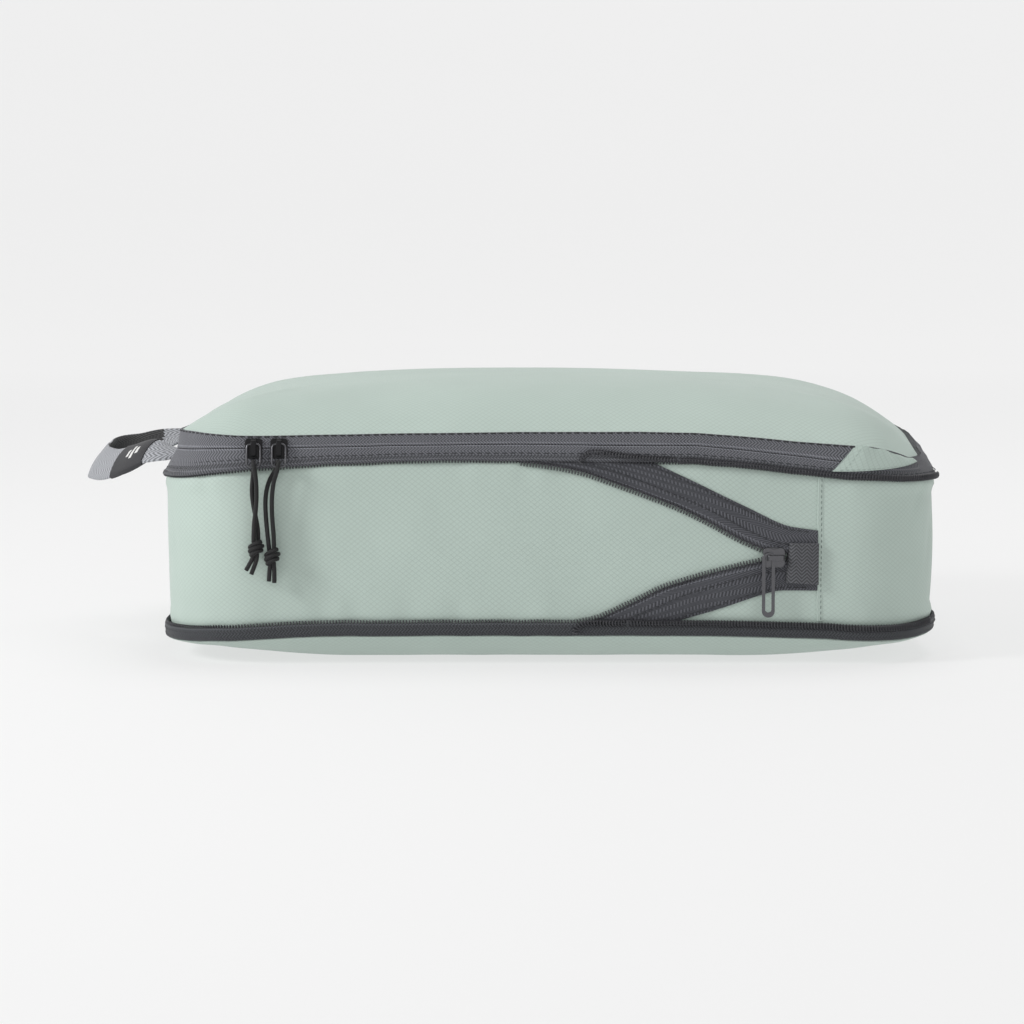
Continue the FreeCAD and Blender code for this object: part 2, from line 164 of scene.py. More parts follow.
def dip(s, z):
    """How far the fabric at (s, z) sits above or below its drawn height."""
    low, rim, zipper, lid = FLOOR_RISE(s), RIM_DIP(s), ZIP_DIP(s), LID_DIP(s)
    drawn = [BOTTOM_RIM_Z, 18.6, 92.6, 96.5, 101.0, 103.0, LID_EDGE_Z]
    values = [low, low, rim, 0.6 * rim + 0.4 * zipper, zipper, zipper, lid]
    result = values[0] + 0.0 * z
    for index in range(len(drawn) - 1):
        t = np.clip((z - drawn[index]) / (drawn[index + 1] - drawn[index]), 0, 1)
        result = result + t * (values[index + 1] - values[index])
    return result


def flare(s, z):
    """How far the rims stand out from the body, less the tuck of the lid's edge."""
    top = TOP_FLARE(s) * np.clip((103.0 - z) / 9.0, 0, 1) * np.clip((z - 86.0) / 4.0, 0, 1)
    low = LOW_FLARE(s) * np.clip((z - 9.0) / 6.0, 0, 1) * np.clip((26.0 - z) / 4.0, 0, 1)
    late = np.clip((s - 330) / 60, 0, 1) * np.clip((600 - s) / 60, 0, 1)
    tuck = np.clip((z - 94.5 - 6.0 * late) / 5.0, 0, 1) + 0.4 * np.clip((z - 100.0) / 8.5, 0, 1)
    return top + low - LID_TUCK(s) * tuck


def place(s, offset, z, wave=0.18):
    """Points in millimetres for arrays of s, offset and z."""
    s, offset, z = np.broadcast_arrays(np.asarray(s, float), offset, z)
    x, y, _, _ = outline(s, offset + flare(np.mod(s, PERIMETER), z))
    ripple = wave * value_noise(s, z * 0.2, 9.0, 3, True)
    return np.stack([x, y, z + dip(s, z) + ripple], -1)


def outward(s):
    """Outward unit vectors at s."""
    _, _, out_x, out_y = outline(np.asarray(s, float), 0.0)
    return np.stack([out_x, out_y, 0 * out_x], -1)


def steps_between(start, end, step):
    """Evenly spaced values, both ends included."""
    count = max(2, int(round((end - start) / step)) + 1)
    return np.linspace(start, end, count)


# ---- mesh making ----------------------------------------------------------------------
def new_object(name, data):
    obj = bpy.data.objects.new(name, data)
    bpy.context.scene.collection.objects.link(obj)
    return obj


def finish_mesh(mesh, sharp=35):
    """Consistent normals and smooth shading with sharp creases kept."""
    work = bmesh.new()
    work.from_mesh(mesh)
    bmesh.ops.recalc_face_normals(work, faces=work.faces)
    work.to_mesh(mesh)
    work.free()
    mesh.shade_smooth()
    mesh.set_sharp_from_angle(angle=math.radians(sharp))


def mesh_object(name, points, faces, sharp=35):
    """An object from points in millimetres."""
    mesh = bpy.data.meshes.new(name)
    mesh.from_pydata((np.asarray(points) * MM).tolist(), [], faces)
    finish_mesh(mesh, sharp)
    return new_object(name, mesh)


def grid_object(name, points, us, vs, wrap_u=False, wrap_v=False, caps=False, sharp=35):
    """A surface from a grid of points, with cloth coordinates in metres."""
    count_u, count_v = points.shape[:2]
    cells_u = count_u if wrap_u else count_u - 1
    cells_v = count_v if wrap_v else count_v - 1
    i, j = np.meshgrid(np.arange(cells_u), np.arange(cells_v), indexing="ij")
    i, j = i.ravel(), j.ravel()
    next_i, next_j = (i + 1) % count_u, (j + 1) % count_v
    quads = np.stack([i * count_v + j, next_i * count_v + j,
                      next_i * count_v + next_j, i * count_v + next_j], -1)
    faces = quads.tolist()
    if caps and not wrap_u:
        faces.append(list(range(count_v)))
        faces.append(list(range((count_u - 1) * count_v, count_u * count_v)))
    mesh = bpy.data.meshes.new(name)
    mesh.from_pydata((points.reshape(-1, 3) * MM).tolist(), [], faces)
    layer = mesh.uv_layers.new(name="cloth")
    us, vs = np.asarray(us, float), np.asarray(vs, float)
    if us.ndim == 1:
        corner_u = np.stack([us[i], us[i + 1], us[i + 1], us[i]], -1)
        corner_v = np.stack([vs[j], vs[j], vs[j + 1], vs[j + 1]], -1)
    else:
        corner_u = np.stack([us[i, j], us[next_i, j], us[next_i, next_j], us[i, next_j]], -1)
        corner_v = np.stack([vs[i, j], vs[next_i, j], vs[next_i, next_j], vs[i, next_j]], -1)
    flat = np.zeros((len(mesh.loops), 2), np.float32)
    flat[:corner_u.size, 0] = corner_u.ravel() * MM
    flat[:corner_v.size, 1] = corner_v.ravel() * MM
    layer.data.foreach_set("uv", flat.ravel())
    finish_mesh(mesh, sharp)
    return new_object(name, mesh)


def slab(low_offset, high_offset, low_z, high_z, radius=0.22):
    """A rounded upright cross-section as (offset, z) points."""
    r = min(radius, (high_offset - low_offset) * 0.45)
    k = 0.3 * r
    return [(high_offset, low_z + r), (high_offset, high_z - r), (high_offset - k, high_z - k),
            (high_offset - r, high_z), (low_offset + r, high_z), (low_offset + k, high_z - k),
            (low_offset, high_z - r), (low_offset, low_z + r), (low_offset + k, low_z + k),
            (low_offset + r, low_z), (high_offset - r, low_z), (high_offset - k, low_z + k)]


def running_lengths(points):
    """Distance along a polyline at each of its points."""
    return np.concatenate([[0], np.cumsum(np.linalg.norm(np.diff(points, axis=0), axis=1))])


def profile_lengths(profile):
    """Distance round a closed profile, with its first point repeated at the end."""
    return running_lengths(np.array(list(profile) + [profile[0]], float))


def band(name, profile, start=0.0, end=PERIMETER, step=3.0, wave=0.18):
    """A strip with a closed (offset, z) cross-section from start to end round the cube."""
    whole = abs(end - start - PERIMETER) < 1e-6
    s = steps_between(start, end, step)
    us = s
    if whole:
        s = s[:-1]
    offsets = np.array([p[0] for p in profile])[None, :]
    heights = np.array([p[1] for p in profile])[None, :]
    points = place(s[:, None], offsets, heights, wave)
    return grid_object(name, points, us, profile_lengths(profile), whole, True, not whole)


def resample(points, spacing=None, count=None):
    """Evenly spaced points along a polyline."""
    points = np.asarray(points, float)
    lengths = running_lengths(points)
    if count is None:
        count = max(2, int(round(lengths[-1] / spacing)) + 1)
    at = np.linspace(0, lengths[-1], count)
    columns = [np.interp(at, lengths, points[:, k]) for k in range(points.shape[1])]
    return np.stack(columns, -1), lengths[-1]


def unit(vectors):
    return vectors / np.linalg.norm(vectors, axis=-1, keepdims=True)


def coil(name, centre, out, across_half, out_half, wire=0.3, side=1, pitch=COIL_PITCH):
    """A zip coil along a line: flat turns that advance on the sewn side only.

    With side 1 the teeth point up or left of the line's direction, with -1 the other way.
    """
    per_turn = 10
    line, length = resample(np.hstack([centre, out]), count=len(centre) * 8)
    turns = max(2, int(length / pitch))
    count = np.arange(turns * per_turn + 1) / per_turn
    part = count - np.floor(count)
    advance = np.clip((part - 0.3) / 0.4, 0, 1)
    at = (np.floor(count) + advance * advance * (3 - 2 * advance)) * pitch
    marks = np.linspace(0, length, len(line))
    both = np.stack([np.interp(at, marks, line[:, k]) for k in range(6)], -1)
    slope = unit(np.gradient(line[:, :3], axis=0))
    along = unit(np.stack([np.interp(at, marks, slope[:, k]) for k in range(3)], -1))
    middle, outer = both[:, :3], unit(both[:, 3:])
    across = unit(np.cross(outer, along)) * side
    angle = count * 2 * math.pi
    swing = across * np.cos(angle)[:, None] * across_half
    swing = swing + outer * np.sin(angle)[:, None] * out_half
    path = middle + swing
    tangent = unit(np.gradient(path, axis=0))
    radial = unit(swing - tangent * np.sum(swing * tangent, -1, keepdims=True))
    side = np.cross(tangent, radial)
    ring = np.arange(5) * 2 * math.pi / 5
    points = (path[:, None, :] + wire * np.cos(ring)[None, :, None] * radial[:, None, :]
              + wire * np.sin(ring)[None, :, None] * side[:, None, :])
    us = np.arange(len(path)) * 0.5
    return grid_object(name, points, us, np.arange(6) * 0.4, False, True, True, 80)


def stitches(name, rows, pitch=3.9, fill=0.72, radius=0.24, sink=0.16):
    """Rows of thread; each row is (points, outward directions)."""
    verts, faces = [], []
    for points, normals in rows:
        both, length = resample(np.hstack([points, normals]), spacing=0.5)
        at = np.arange(pitch * 0.5, length - pitch * 0.5, pitch)
        marks = np.linspace(0, length, len(both))
        for middle in at:
            base = len(verts)
            ts = middle + np.array([-0.5, -0.34, 0.34, 0.5]) * pitch * fill
            spots = np.stack([np.interp(ts, marks, both[:, k]) for k in range(6)], -1)
            normal = unit(spots[:, 3:].mean(0))
            along = unit(spots[3, :3] - spots[0, :3])
            side = np.cross(normal, along)
            for k, (scale, drop) in enumerate([(0.45, sink), (1, 0), (1, 0), (0.45, sink)]):
                for a in np.arange(6) * math.pi / 3:
                    ring = side * math.cos(a) * 1.1 + normal * math.sin(a) * 0.8
                    verts.append(spots[k, :3] - normal * drop + ring * radius * scale)
            for k in range(3):
                for a in range(6):
                    first = base + k * 6 + a
                    second = base + k * 6 + (a + 1) % 6
                    faces.append([first, second, second + 6, first + 6])
            faces.append([base + a for a in range(6)])
            faces.append([base + 18 + a for a in range(6)])
    return mesh_object(name, verts, faces, 80)


def rim_row(offset, z, start=0.0, end=PERIMETER):
    """A stitch row round the cube."""
    s = steps_between(start, end, 2.5)
    return place(s, offset, z), outward(s)


# ---- materials --------------------------------------------------------------------------
def linear(rgb):
    """An sRGB colour from 0 to 255 as linear values."""
    values = [c / 255 for c in rgb]
    return tuple(c / 12.92 if c <= 0.04045 else ((c + 0.055) / 1.055) ** 2.4 for c in values)


class Shader:
    """A short way to build a material's nodes."""

    def __init__(self, name, roughness=0.6, metallic=0.0, sheen=0.0, specular=0.5):
        self.material = bpy.data.materials.new(name)
        self.material.use_nodes = True
        self.tree = self.material.node_tree
        self.shader = self.tree.nodes["Principled BSDF"]
        self.shader.inputs["Roughness"].default_value = roughness
        self.shader.inputs["Metallic"].default_value = metallic
        self.shader.inputs["Sheen Weight"].default_value = sheen
        self.shader.inputs["Sheen Roughness"].default_value = 0.4
        self.shader.inputs["Specular IOR Level"].default_value = specular

    def node(self, kind, **settings):
        made = self.tree.nodes.new(kind)
        for key, value in settings.items():
            setattr(made, key, value)
        return made

    def link(self, source, target):
        self.tree.links.new(source, target)

    def math(self, operation, first, second=None, third=None, clamp=False):
        made = self.node("ShaderNodeMath", operation=operation, use_clamp=clamp)
        for index, value in enumerate((first, second, third)):
            if value is None:
                continue
            if isinstance(value, (int, float)):
                made.inputs[index].default_value = value
            else:
                self.link(value, made.inputs[index])
        return made.outputs[0]

    def cloth(self):
        """The cloth coordinates u and v in millimetres."""
        source = self.node("ShaderNodeUVMap", uv_map="cloth")
        split = self.node("ShaderNodeSeparateXYZ")
        self.link(source.outputs[0], split.inputs[0])
        u = self.math("MULTIPLY", split.outputs[0], 1000.0)
        v = self.math("MULTIPLY", split.outputs[1], 1000.0)
        return u, v

    def position(self):
        """Object coordinates in millimetres, as a vector."""
        source = self.node("ShaderNodeTexCoord")
        scaled = self.node("ShaderNodeVectorMath", operation="SCALE")
        self.link(source.outputs["Object"], scaled.inputs[0])
        scaled.inputs["Scale"].default_value = 1000.0
        return scaled.outputs[0]

    def noise(self, vector, scale, detail=2.0):
        made = self.node("ShaderNodeTexNoise")
        self.link(vector, made.inputs["Vector"])
        made.inputs["Scale"].default_value = scale
        made.inputs["Detail"].default_value = detail
        return made.outputs[0]

    def vector(self, u, v):
        made = self.node("ShaderNodeCombineXYZ")
        self.link(u, made.inputs[0])
        self.link(v, made.inputs[1])
        return made.outputs[0]

    def wave(self, value, period, shift=0.0):
        """A wave from 0 to 1 with a period in millimetres."""
        turned = self.math("MULTIPLY_ADD", value, 2 * math.pi / period, shift)
        return self.math("MULTIPLY_ADD", self.math("SINE", turned), 0.5, 0.5)

    def mix(self, factor, first, second):
        made = self.node("ShaderNodeMix", data_type="RGBA")
        self.link(factor, made.inputs[0])
        for socket, value in ((6, first), (7, second)):
            if isinstance(value, tuple):
                made.inputs[socket].default_value = (*value, 1)
            else:
                self.link(value, made.inputs[socket])
        return made.outputs[2]

    def bump(self, height, strength, distance, before=None):
        made = self.node("ShaderNodeBump")
        made.inputs["Strength"].default_value = strength
        made.inputs["Distance"].default_value = distance * MM
        self.link(height, made.inputs["Height"])
        if before is not None:
            self.link(before, made.inputs["Normal"])
        return made.outputs[0]

    def done(self, colour, normal=None, roughness=None):
        if isinstance(colour, tuple):
            self.shader.inputs["Base Color"].default_value = (*colour, 1)
        else:
            self.link(colour, self.shader.inputs["Base Color"])
        if normal is not None:
            self.link(normal, self.shader.inputs["Normal"])
        if roughness is not None:
            self.link(roughness, self.shader.inputs["Roughness"])
        return self.material


def scaled(rgb, factor):
    return tuple(c * factor for c in rgb)


def make_ripstop(name, tint):
    """Thin coated nylon with a fine diamond grid of thicker threads."""
    m = Shader(name, 0.55, 0.0, 0.06, 0.35)
    u, v = m.cloth()
    rising = m.math("ADD", m.math("MULTIPLY", u, 1 / 3.0), m.math("MULTIPLY", v, 1 / 2.4))
    falling = m.math("SUBTRACT", m.math("MULTIPLY", u, 1 / 3.0), m.math("MULTIPLY", v, 1 / 2.4))
    lines = []
    for slope in (rising, falling):
        saw = m.math("ABSOLUTE", m.math("SUBTRACT", m.math("FRACT", slope), 0.5))
        lines.append(m.math("MULTIPLY", m.math("SUBTRACT", saw, 0.40, clamp=True), 10.0))
    grid = m.math("MAXIMUM", lines[0], lines[1])
    weave = m.math("MULTIPLY", m.wave(u, 0.5), m.wave(v, 0.5))
    at = m.position()
    cloud = m.noise(at, 0.02, 3.0)
    fine = m.noise(at, 0.9, 2.0)
    base = linear(tint)
    colour = m.mix(m.math("MULTIPLY_ADD", cloud, 1.6, -0.3, True), scaled(base, 0.955),
                   scaled(base, 1.04))
    colour = m.mix(m.math("MULTIPLY", grid, 0.6), colour, scaled(base, 0.7))
    colour = m.mix(m.math("MULTIPLY", fine, 0.16), colour, scaled(base, 0.90))
    normal = m.bump(weave, 0.25, 0.05)
    normal = m.bump(grid, 0.55, 0.10, normal)
    crumple = m.noise(at, 0.055, 3.0)
    normal = m.bump(crumple, 0.35, 1.2, normal)
    rough = m.math("MULTIPLY_ADD", fine, 0.12, 0.50)
    return m.done(colour, normal, rough)


def make_tape(name, tint, bright_row=None, chevron=1.9, period=1.55):
    """Zip tape in herringbone; a lighter row of threads where v is near bright_row."""
    m = Shader(name, 0.72, 0.0, 0.12, 0.3)
    u, v = m.cloth()
    side = m.math("PINGPONG", v, chevron)
    slanted = m.math("ADD", u, m.math("MULTIPLY", side, 1.15))
    thread = m.wave(slanted, period)
    rib = m.wave(v, 0.5)
    at = m.position()
    fine = m.noise(at, 1.3, 2.0)
    cloud = m.noise(at, 0.04, 2.0)
    base = linear(tint)
    colour = m.mix(thread, scaled(base, 0.25), scaled(base, 1.9))
    colour = m.mix(m.math("MULTIPLY", fine, 0.4), colour, scaled(base, 0.75))
    colour = m.mix(m.math("MULTIPLY_ADD", cloud, 0.8, -0.2, True), colour, scaled(base, 1.2))
    if bright_row is not None:
        near = m.math("ABSOLUTE", m.math("SUBTRACT", v, bright_row))
        row = m.math("SUBTRACT", 1.0, m.math("MULTIPLY", near, 2.2), clamp=True)
        dash = m.math("MULTIPLY", row, m.wave(m.math("ADD", u, v), COIL_PITCH))
        colour = m.mix(dash, colour, scaled(base, 2.6))
    normal = m.bump(rib, 0.3, 0.06)
    normal = m.bump(thread, 0.8, 0.2, normal)
    return m.done(colour, normal)


def make_webbing(name, tint, period=2.0):
    """Coarse herringbone webbing."""
    m = Shader(name, 0.6, 0.0, 0.15, 0.4)
    u, v = m.cloth()
    side = m.math("PINGPONG", v, 2.5)
    slanted = m.math("ADD", u, side)
    thread = m.wave(slanted, period)
    cross = m.wave(v, 0.62)
    base = linear(tint)
    colour = m.mix(thread, scaled(base, 0.3), scaled(base, 1.5))
    colour = m.mix(m.math("MULTIPLY", cross, 0.3), colour, scaled(base, 0.7))
    fine = m.noise(m.position(), 0.8, 2.0)
    colour = m.mix(m.math("MULTIPLY", fine, 0.3), colour, scaled(base, 0.7))
    normal = m.bump(cross, 0.3, 0.1)
    normal = m.bump(thread, 0.8, 0.22, normal)
    return m.done(colour, normal)


def make_solid(name, tint, roughness, metallic=0.0, speckle=0.12, bump=0.03, grain=1.5,
               specular=0.5):
    """Plastic, thread or metal with a fine grain."""
    m = Shader(name, roughness, metallic, 0.0, specular)
    at = m.position()
    grain_noise = m.noise(at, grain, 3.0)
    base = linear(tint)
    colour = m.mix(grain_noise, scaled(base, 1 - speckle), scaled(base, 1 + speckle))
    normal = m.bump(grain_noise, 0.4, bump)
    rough = m.math("MULTIPLY_ADD", m.noise(at, 0.35, 2.0), 0.2, roughness - 0.1)
    return m.done(colour, normal, rough)


def make_cord_material(name, tint):
    """A braided cord: crossed threads along its height, with a painted highlight on the threads."""
    m = Shader(name, 0.6, 0.0, 0.1, 0.4)
    at = m.position()
    split = m.node("ShaderNodeSeparateXYZ")
    m.link(at, split.inputs[0])
    across = m.math("MULTIPLY", split.outputs[0], 1.3)
    rising = m.wave(m.math("ADD", split.outputs[2], across), 1.15)
    falling = m.wave(m.math("SUBTRACT", split.outputs[2], across), 1.15)
    braid = m.math("MAXIMUM", rising, falling)
    base = linear(tint)
    # The lighter tone on the crossed threads is a painted highlight; the bump gives their relief.
    colour = m.mix(braid, scaled(base, 0.4), scaled(base, 1.7))
    normal = m.bump(braid, 0.8, 0.2)
    return m.done(colour, normal)


def make_label_material(name):
    """A dark woven sleeve with a light mark of three plain bars."""
    m = Shader(name, 0.55, 0.0, 0.05, 0.4)
    u, v = m.cloth()
    weave = m.math("MULTIPLY", m.wave(u, 0.4), m.wave(v, 0.4))
    dark = linear((38, 38, 41))
    colour = m.mix(weave, dark, scaled(dark, 1.5))
    across = m.math("SUBTRACT", u, 10.2)
    mark = None
    for centre, half_height in ((-3.4, 2.4), (0.0, 4.4), (3.4, 2.4)):
        wide = m.math("LESS_THAN", m.math("ABSOLUTE", m.math("SUBTRACT", across, centre)), 1.0)
        high = m.math("LESS_THAN", m.math("ABSOLUTE", m.math("SUBTRACT", v, 11.0)), half_height)
        bar = m.math("MULTIPLY", wide, high)
        mark = bar if mark is None else m.math("MAXIMUM", mark, bar)
    colour = m.mix(mark, colour, linear((214, 214, 212)))
    height = m.math("ADD", m.math("MULTIPLY", weave, 0.4), mark)
    return m.done(colour, m.bump(height, 0.5, 0.08))


RIPSTOP = make_ripstop("ripstop_mint", (177, 192, 184))
MAIN_TAPE_LOW = make_tape("main_zip_tape_low", (93, 94, 99), 4.7)
MAIN_TAPE_HIGH = make_tape("main_zip_tape_high", (93, 94, 99), 0.7)
RIM_TAPE = make_tape("rim_zip_tape", (76, 77, 81), 0.9, 1.4)
# The lower rim tape is tinted darker than the upper rim tape: painted shade, as it faces down.
LOWER_TAPE_PAINTED_SHADE = make_tape("lower_zip_tape_painted_shade", (58, 60, 63), 5.0, 1.4)
DIAGONAL_TAPE = make_tape("diagonal_zip_tape", (74, 75, 80), 2.6, 3.3, 1.9)
BINDING = make_tape("binding_tape", (58, 59, 63))
GROSGRAIN = make_webbing("grosgrain", (80, 81, 85), 1.7)
WEBBING = make_webbing("webbing", (158, 160, 165))
LABEL = make_label_material("label_sleeve")
COIL = make_solid("zip_coil", (58, 58, 62), 0.34)
THREAD = make_solid("thread_dark", (52, 53, 57), 0.7, speckle=0.3)
SEAM_THREAD = make_solid("thread_seam", (112, 124, 118), 0.7, speckle=0.2)
DARK_THREAD = make_solid("thread_black", (34, 34, 37), 0.7, speckle=0.3)
THREAD_LIGHT = make_solid("thread_mint", (160, 174, 167), 0.7, speckle=0.2)
BLACK_METAL = make_solid("black_slider", (24, 24, 26), 0.36, 0.6, 0.2)
GUNMETAL = make_solid("gunmetal", (96, 96, 99), 0.3, 1.0, 0.08, 0.01, 2.5)
CORD = make_cord_material("black_cord", (15, 15, 16))
# A dark copy of the webbing: painted shade for the faces inside the handle's loop.
LOOP_PAINTED_SHADE = make_webbing("webbing_painted_shade", (34, 34, 36))


def dress(obj, material):
    """Gives a piece its one material."""
    obj.data.materials.clear()
    obj.data.materials.append(material)
    return obj


def stand_for(obj, material, node, body):
    """Dresses a piece that replaces one CAD node and rides on one body."""
    dress(obj, material)
    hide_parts(node)
    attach(obj, body)


# ---- walls --------------------------------------------------------------------------------
def wall_offset(s, z):
    """Offset of the wall's outer face: pulled in at its seams, full in between."""
    t = np.clip((z - BOTTOM_RIM_Z) / (WALL_TOP_Z - BOTTOM_RIM_Z), 0, 1)
    edge = np.minimum(np.clip((z - 14.0) / 6.0, 0, 1), np.clip((97.5 - z) / 6.0, 0, 1))
    full = BULGE(s) * np.sin(math.pi * t) ** 0.6 * edge
    near_rim = np.exp(-((z - 90.0) / 9.0) ** 2) + np.exp(-((z - 22.0) / 8.0) ** 2)
    pucker = 0.42 * value_noise(s, z * 0.35, 8.0, 11, True) * near_rim
    soft = 0.75 * value_noise(s, z, 42.0, 12, True) + 0.25 * value_noise(s, z * 0.6, 19.0, 13, True)
    quiet = 1.0 - 0.85 * np.exp(-((s - 248.0) / 22.0) ** 4) * np.exp(-((z - 49.0) / 20.0) ** 4)
    valley = 1.3 * np.exp(-((s - 18.0 - 0.33 * (80.0 - z)) / 8.0) ** 2 - ((z - 60.0) / 24.0) ** 4)
    creases = corner_creases(s, z) - valley
    return -2.5 + 1.4 * edge + full + (pucker + soft * edge) * quiet + creases


def corner_creases(s, z):
    """Slanted pull lines beside the front corners."""
    total = 0.0 * s
    for centre, height, slope, length, depth in (
            (318.0, 84.0, 0.5, 12.0, 0.7), (331.0, 64.0, 0.25, 16.0, 0.6),
            (1128.0, 84.0, -0.5, 10.0, 0.6), (1104.0, 60.0, -0.2, 16.0, 0.6),
            (300.0, 26.0, -0.4, 10.0, 0.5)):
        du = s - centre
        dz = z - height
        ridge = np.exp(-((du - slope * dz) / 2.6) ** 2) * np.exp(-(dz / length) ** 2)
        total = total - depth * ridge
    return total


def wall(name, start, end):
    """A wall panel with two faces, between two places round the cube."""
    s = steps_between(start, end, 2.6)
    z = steps_between(BOTTOM_RIM_Z, WALL_TOP_Z, 2.45)
    round_s = np.mod(s, PERIMETER)
    grid_s, grid_z = np.meshgrid(round_s, z, indexing="ij")
    outer = place(grid_s, wall_offset(grid_s, grid_z), grid_z, 0.0)
    inner = place(grid_s, wall_offset(grid_s, grid_z) - CLOTH_THICKNESS, grid_z, 0.0)
    points = np.concatenate([outer, inner[:, ::-1]], 1)
    heights = np.concatenate([z, z[::-1] + 0.01, z[:1]])
    obj = grid_object(name, points, s, heights, False, True, True, 60)
    return dress(obj, RIPSTOP)


def bend_with_rim(obj):
    """Bakes the piece's transform into its mesh."""
    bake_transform(obj)
    return obj


def make_walls():
    side = wall("side_wall_cloth", REAR_SEAM_S, PERIMETER + SEAM_S)
    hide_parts("side_wall")
    bend_with_rim(side)
    end = wall("end_wall_cloth", SEAM_S, REAR_SEAM_S)
    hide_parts("end_wall")
    bend_with_rim(end)
    for name, start, sign in (("front", SEAM_S, 1), ("rear", REAR_SEAM_S, -1)):
        make_wall_seam(name, start, sign)


def make_wall_seam(name, start, sign):
    """The folded lap over a vertical join, and its row of thread."""
    z = steps_between(19.5, 92.5, 2.0)
    lap = [(0.0, 0.1), (0.1, 0.55), (0.5, 0.72), (1.2, 0.45), (2.6, 0.25), (3.0, 0.0), (1.4, -0.2)]
    ds = np.array([p[0] for p in lap])[None, :] * sign
    rise = np.array([p[1] for p in lap])[None, :]
    s = start - 0.4 * sign + ds + 0.15 * value_noise(z, 0 * z, 9.0, 21)[:, None]
    heights = z[:, None] + 0 * ds
    points = place(s, wall_offset(s, heights) + rise, heights, 0.0)
    fold = grid_object("wall_seam_cloth_" + name, points, z, np.arange(8) * 1.2, False, True, True)
    dress(fold, RIPSTOP)
    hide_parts("wall_seam_" + name)
    bend_with_rim(fold)
    line_s = start + 1.6 * sign + 0 * z
    row = (place(line_s, wall_offset(line_s, z) + 0.36, z, 0.0), outward(line_s))
    thread = dress(stitches("wall_seam_thread_" + name, [row], 2.6, 0.62, 0.18), SEAM_THREAD)
    bend_with_rim(thread)


# ---- bottom, rims and lid -----------------------------------------------------------------
def plan_grid(columns, rows, offset):
    """A grid of quads that fills the cube's outline, as x and y arrays."""
    a = np.linspace(-1, 1, columns)
    b = np.linspace(-1, 1, rows)
    grid_a, grid_b = np.meshgrid(a, b, indexing="ij")
    ring = np.maximum(np.abs(grid_a), np.abs(grid_b))
    safe = np.where(ring < 1e-9, 1.0, ring)
    edge_a, edge_b = grid_a / safe, grid_b / safe
    front = STATIONS[0] - ARC / 2 + (edge_a + 1) / 2 * (RUNS[0] + ARC)
    right = STATIONS[2] - ARC / 2 + (edge_b + 1) / 2 * (RUNS[2] + ARC)
    rear = STATIONS[4] - ARC / 2 + (1 - edge_a) / 2 * (RUNS[0] + ARC)
    left = STATIONS[6] - ARC / 2 + (1 - edge_b) / 2 * (RUNS[2] + ARC)
    s = np.where(np.abs(edge_b) >= np.abs(edge_a), np.where(edge_b < 0, front, rear),
                 np.where(edge_a > 0, right, left))
    x, y, _, _ = outline(s, offset(s) if callable(offset) else offset)
    return x * ring, y * ring, s, ring


def inset(x, y, offset):
    """Distance inside the outline at an offset."""
    qx = np.abs(x) - STRAIGHT_X
    qy = np.abs(y) - STRAIGHT_Y
    outside = np.hypot(np.maximum(qx, 0), np.maximum(qy, 0))
    return CORNER + offset - outside - np.minimum(np.maximum(qx, qy), 0)


def relax_cloth(obj, pressure, frames, cap):
    """Lets a panel billow between its held edges, with the travel of each point capped."""
    before = np.array([v.co for v in obj.data.vertices])
    group = obj.vertex_groups.new(name="held")
    edge_verts = boundary_vertices(obj.data)
    group.add(edge_verts, 1.0, "REPLACE")
    modifier = obj.modifiers.new("Cloth", "CLOTH")
    settings = modifier.settings
    settings.vertex_group_mass = "held"
    settings.quality = 6
    settings.mass = 0.2
    settings.tension_stiffness = 18
    settings.compression_stiffness = 12
    settings.shear_stiffness = 6
    settings.bending_stiffness = 0.25
    settings.use_pressure = True
    settings.uniform_pressure_force = pressure
    settings.effector_weights.gravity = 0.0
    for number in range(1, frames + 1):
        bpy.context.scene.frame_set(number)
    graph = bpy.context.evaluated_depsgraph_get()
    result = bpy.data.meshes.new_from_object(obj.evaluated_get(graph))
    after = np.array([v.co for v in result.vertices])
    bpy.data.meshes.remove(result)
    obj.modifiers.remove(modifier)
    obj.vertex_groups.remove(group)
    bpy.context.scene.frame_set(1)
    move = after - before
    size = np.linalg.norm(move, axis=1, keepdims=True)
    move = move * np.minimum(1.0, cap * MM / np.maximum(size, 1e-9))
    obj.data.vertices.foreach_set("co", (before + move).astype(np.float32).ravel())
    obj.data.update()


def boundary_vertices(mesh):
    """Vertices on open edges."""
    work = bmesh.new()
    work.from_mesh(mesh)
    found = [v.index for v in work.verts if v.is_boundary]
    work.free()
    return found


def add_modifier(obj, kind, **settings):
    modifier = obj.modifiers.new(kind.title(), kind)
    for key, value in settings.items():
        setattr(modifier, key, value)
    return modifier


def apply_modifiers(obj):
    """Replaces the mesh by its evaluated one."""
    graph = bpy.context.evaluated_depsgraph_get()
    final = bpy.data.meshes.new_from_object(obj.evaluated_get(graph))
    obj.modifiers.clear()
    obj.data = final


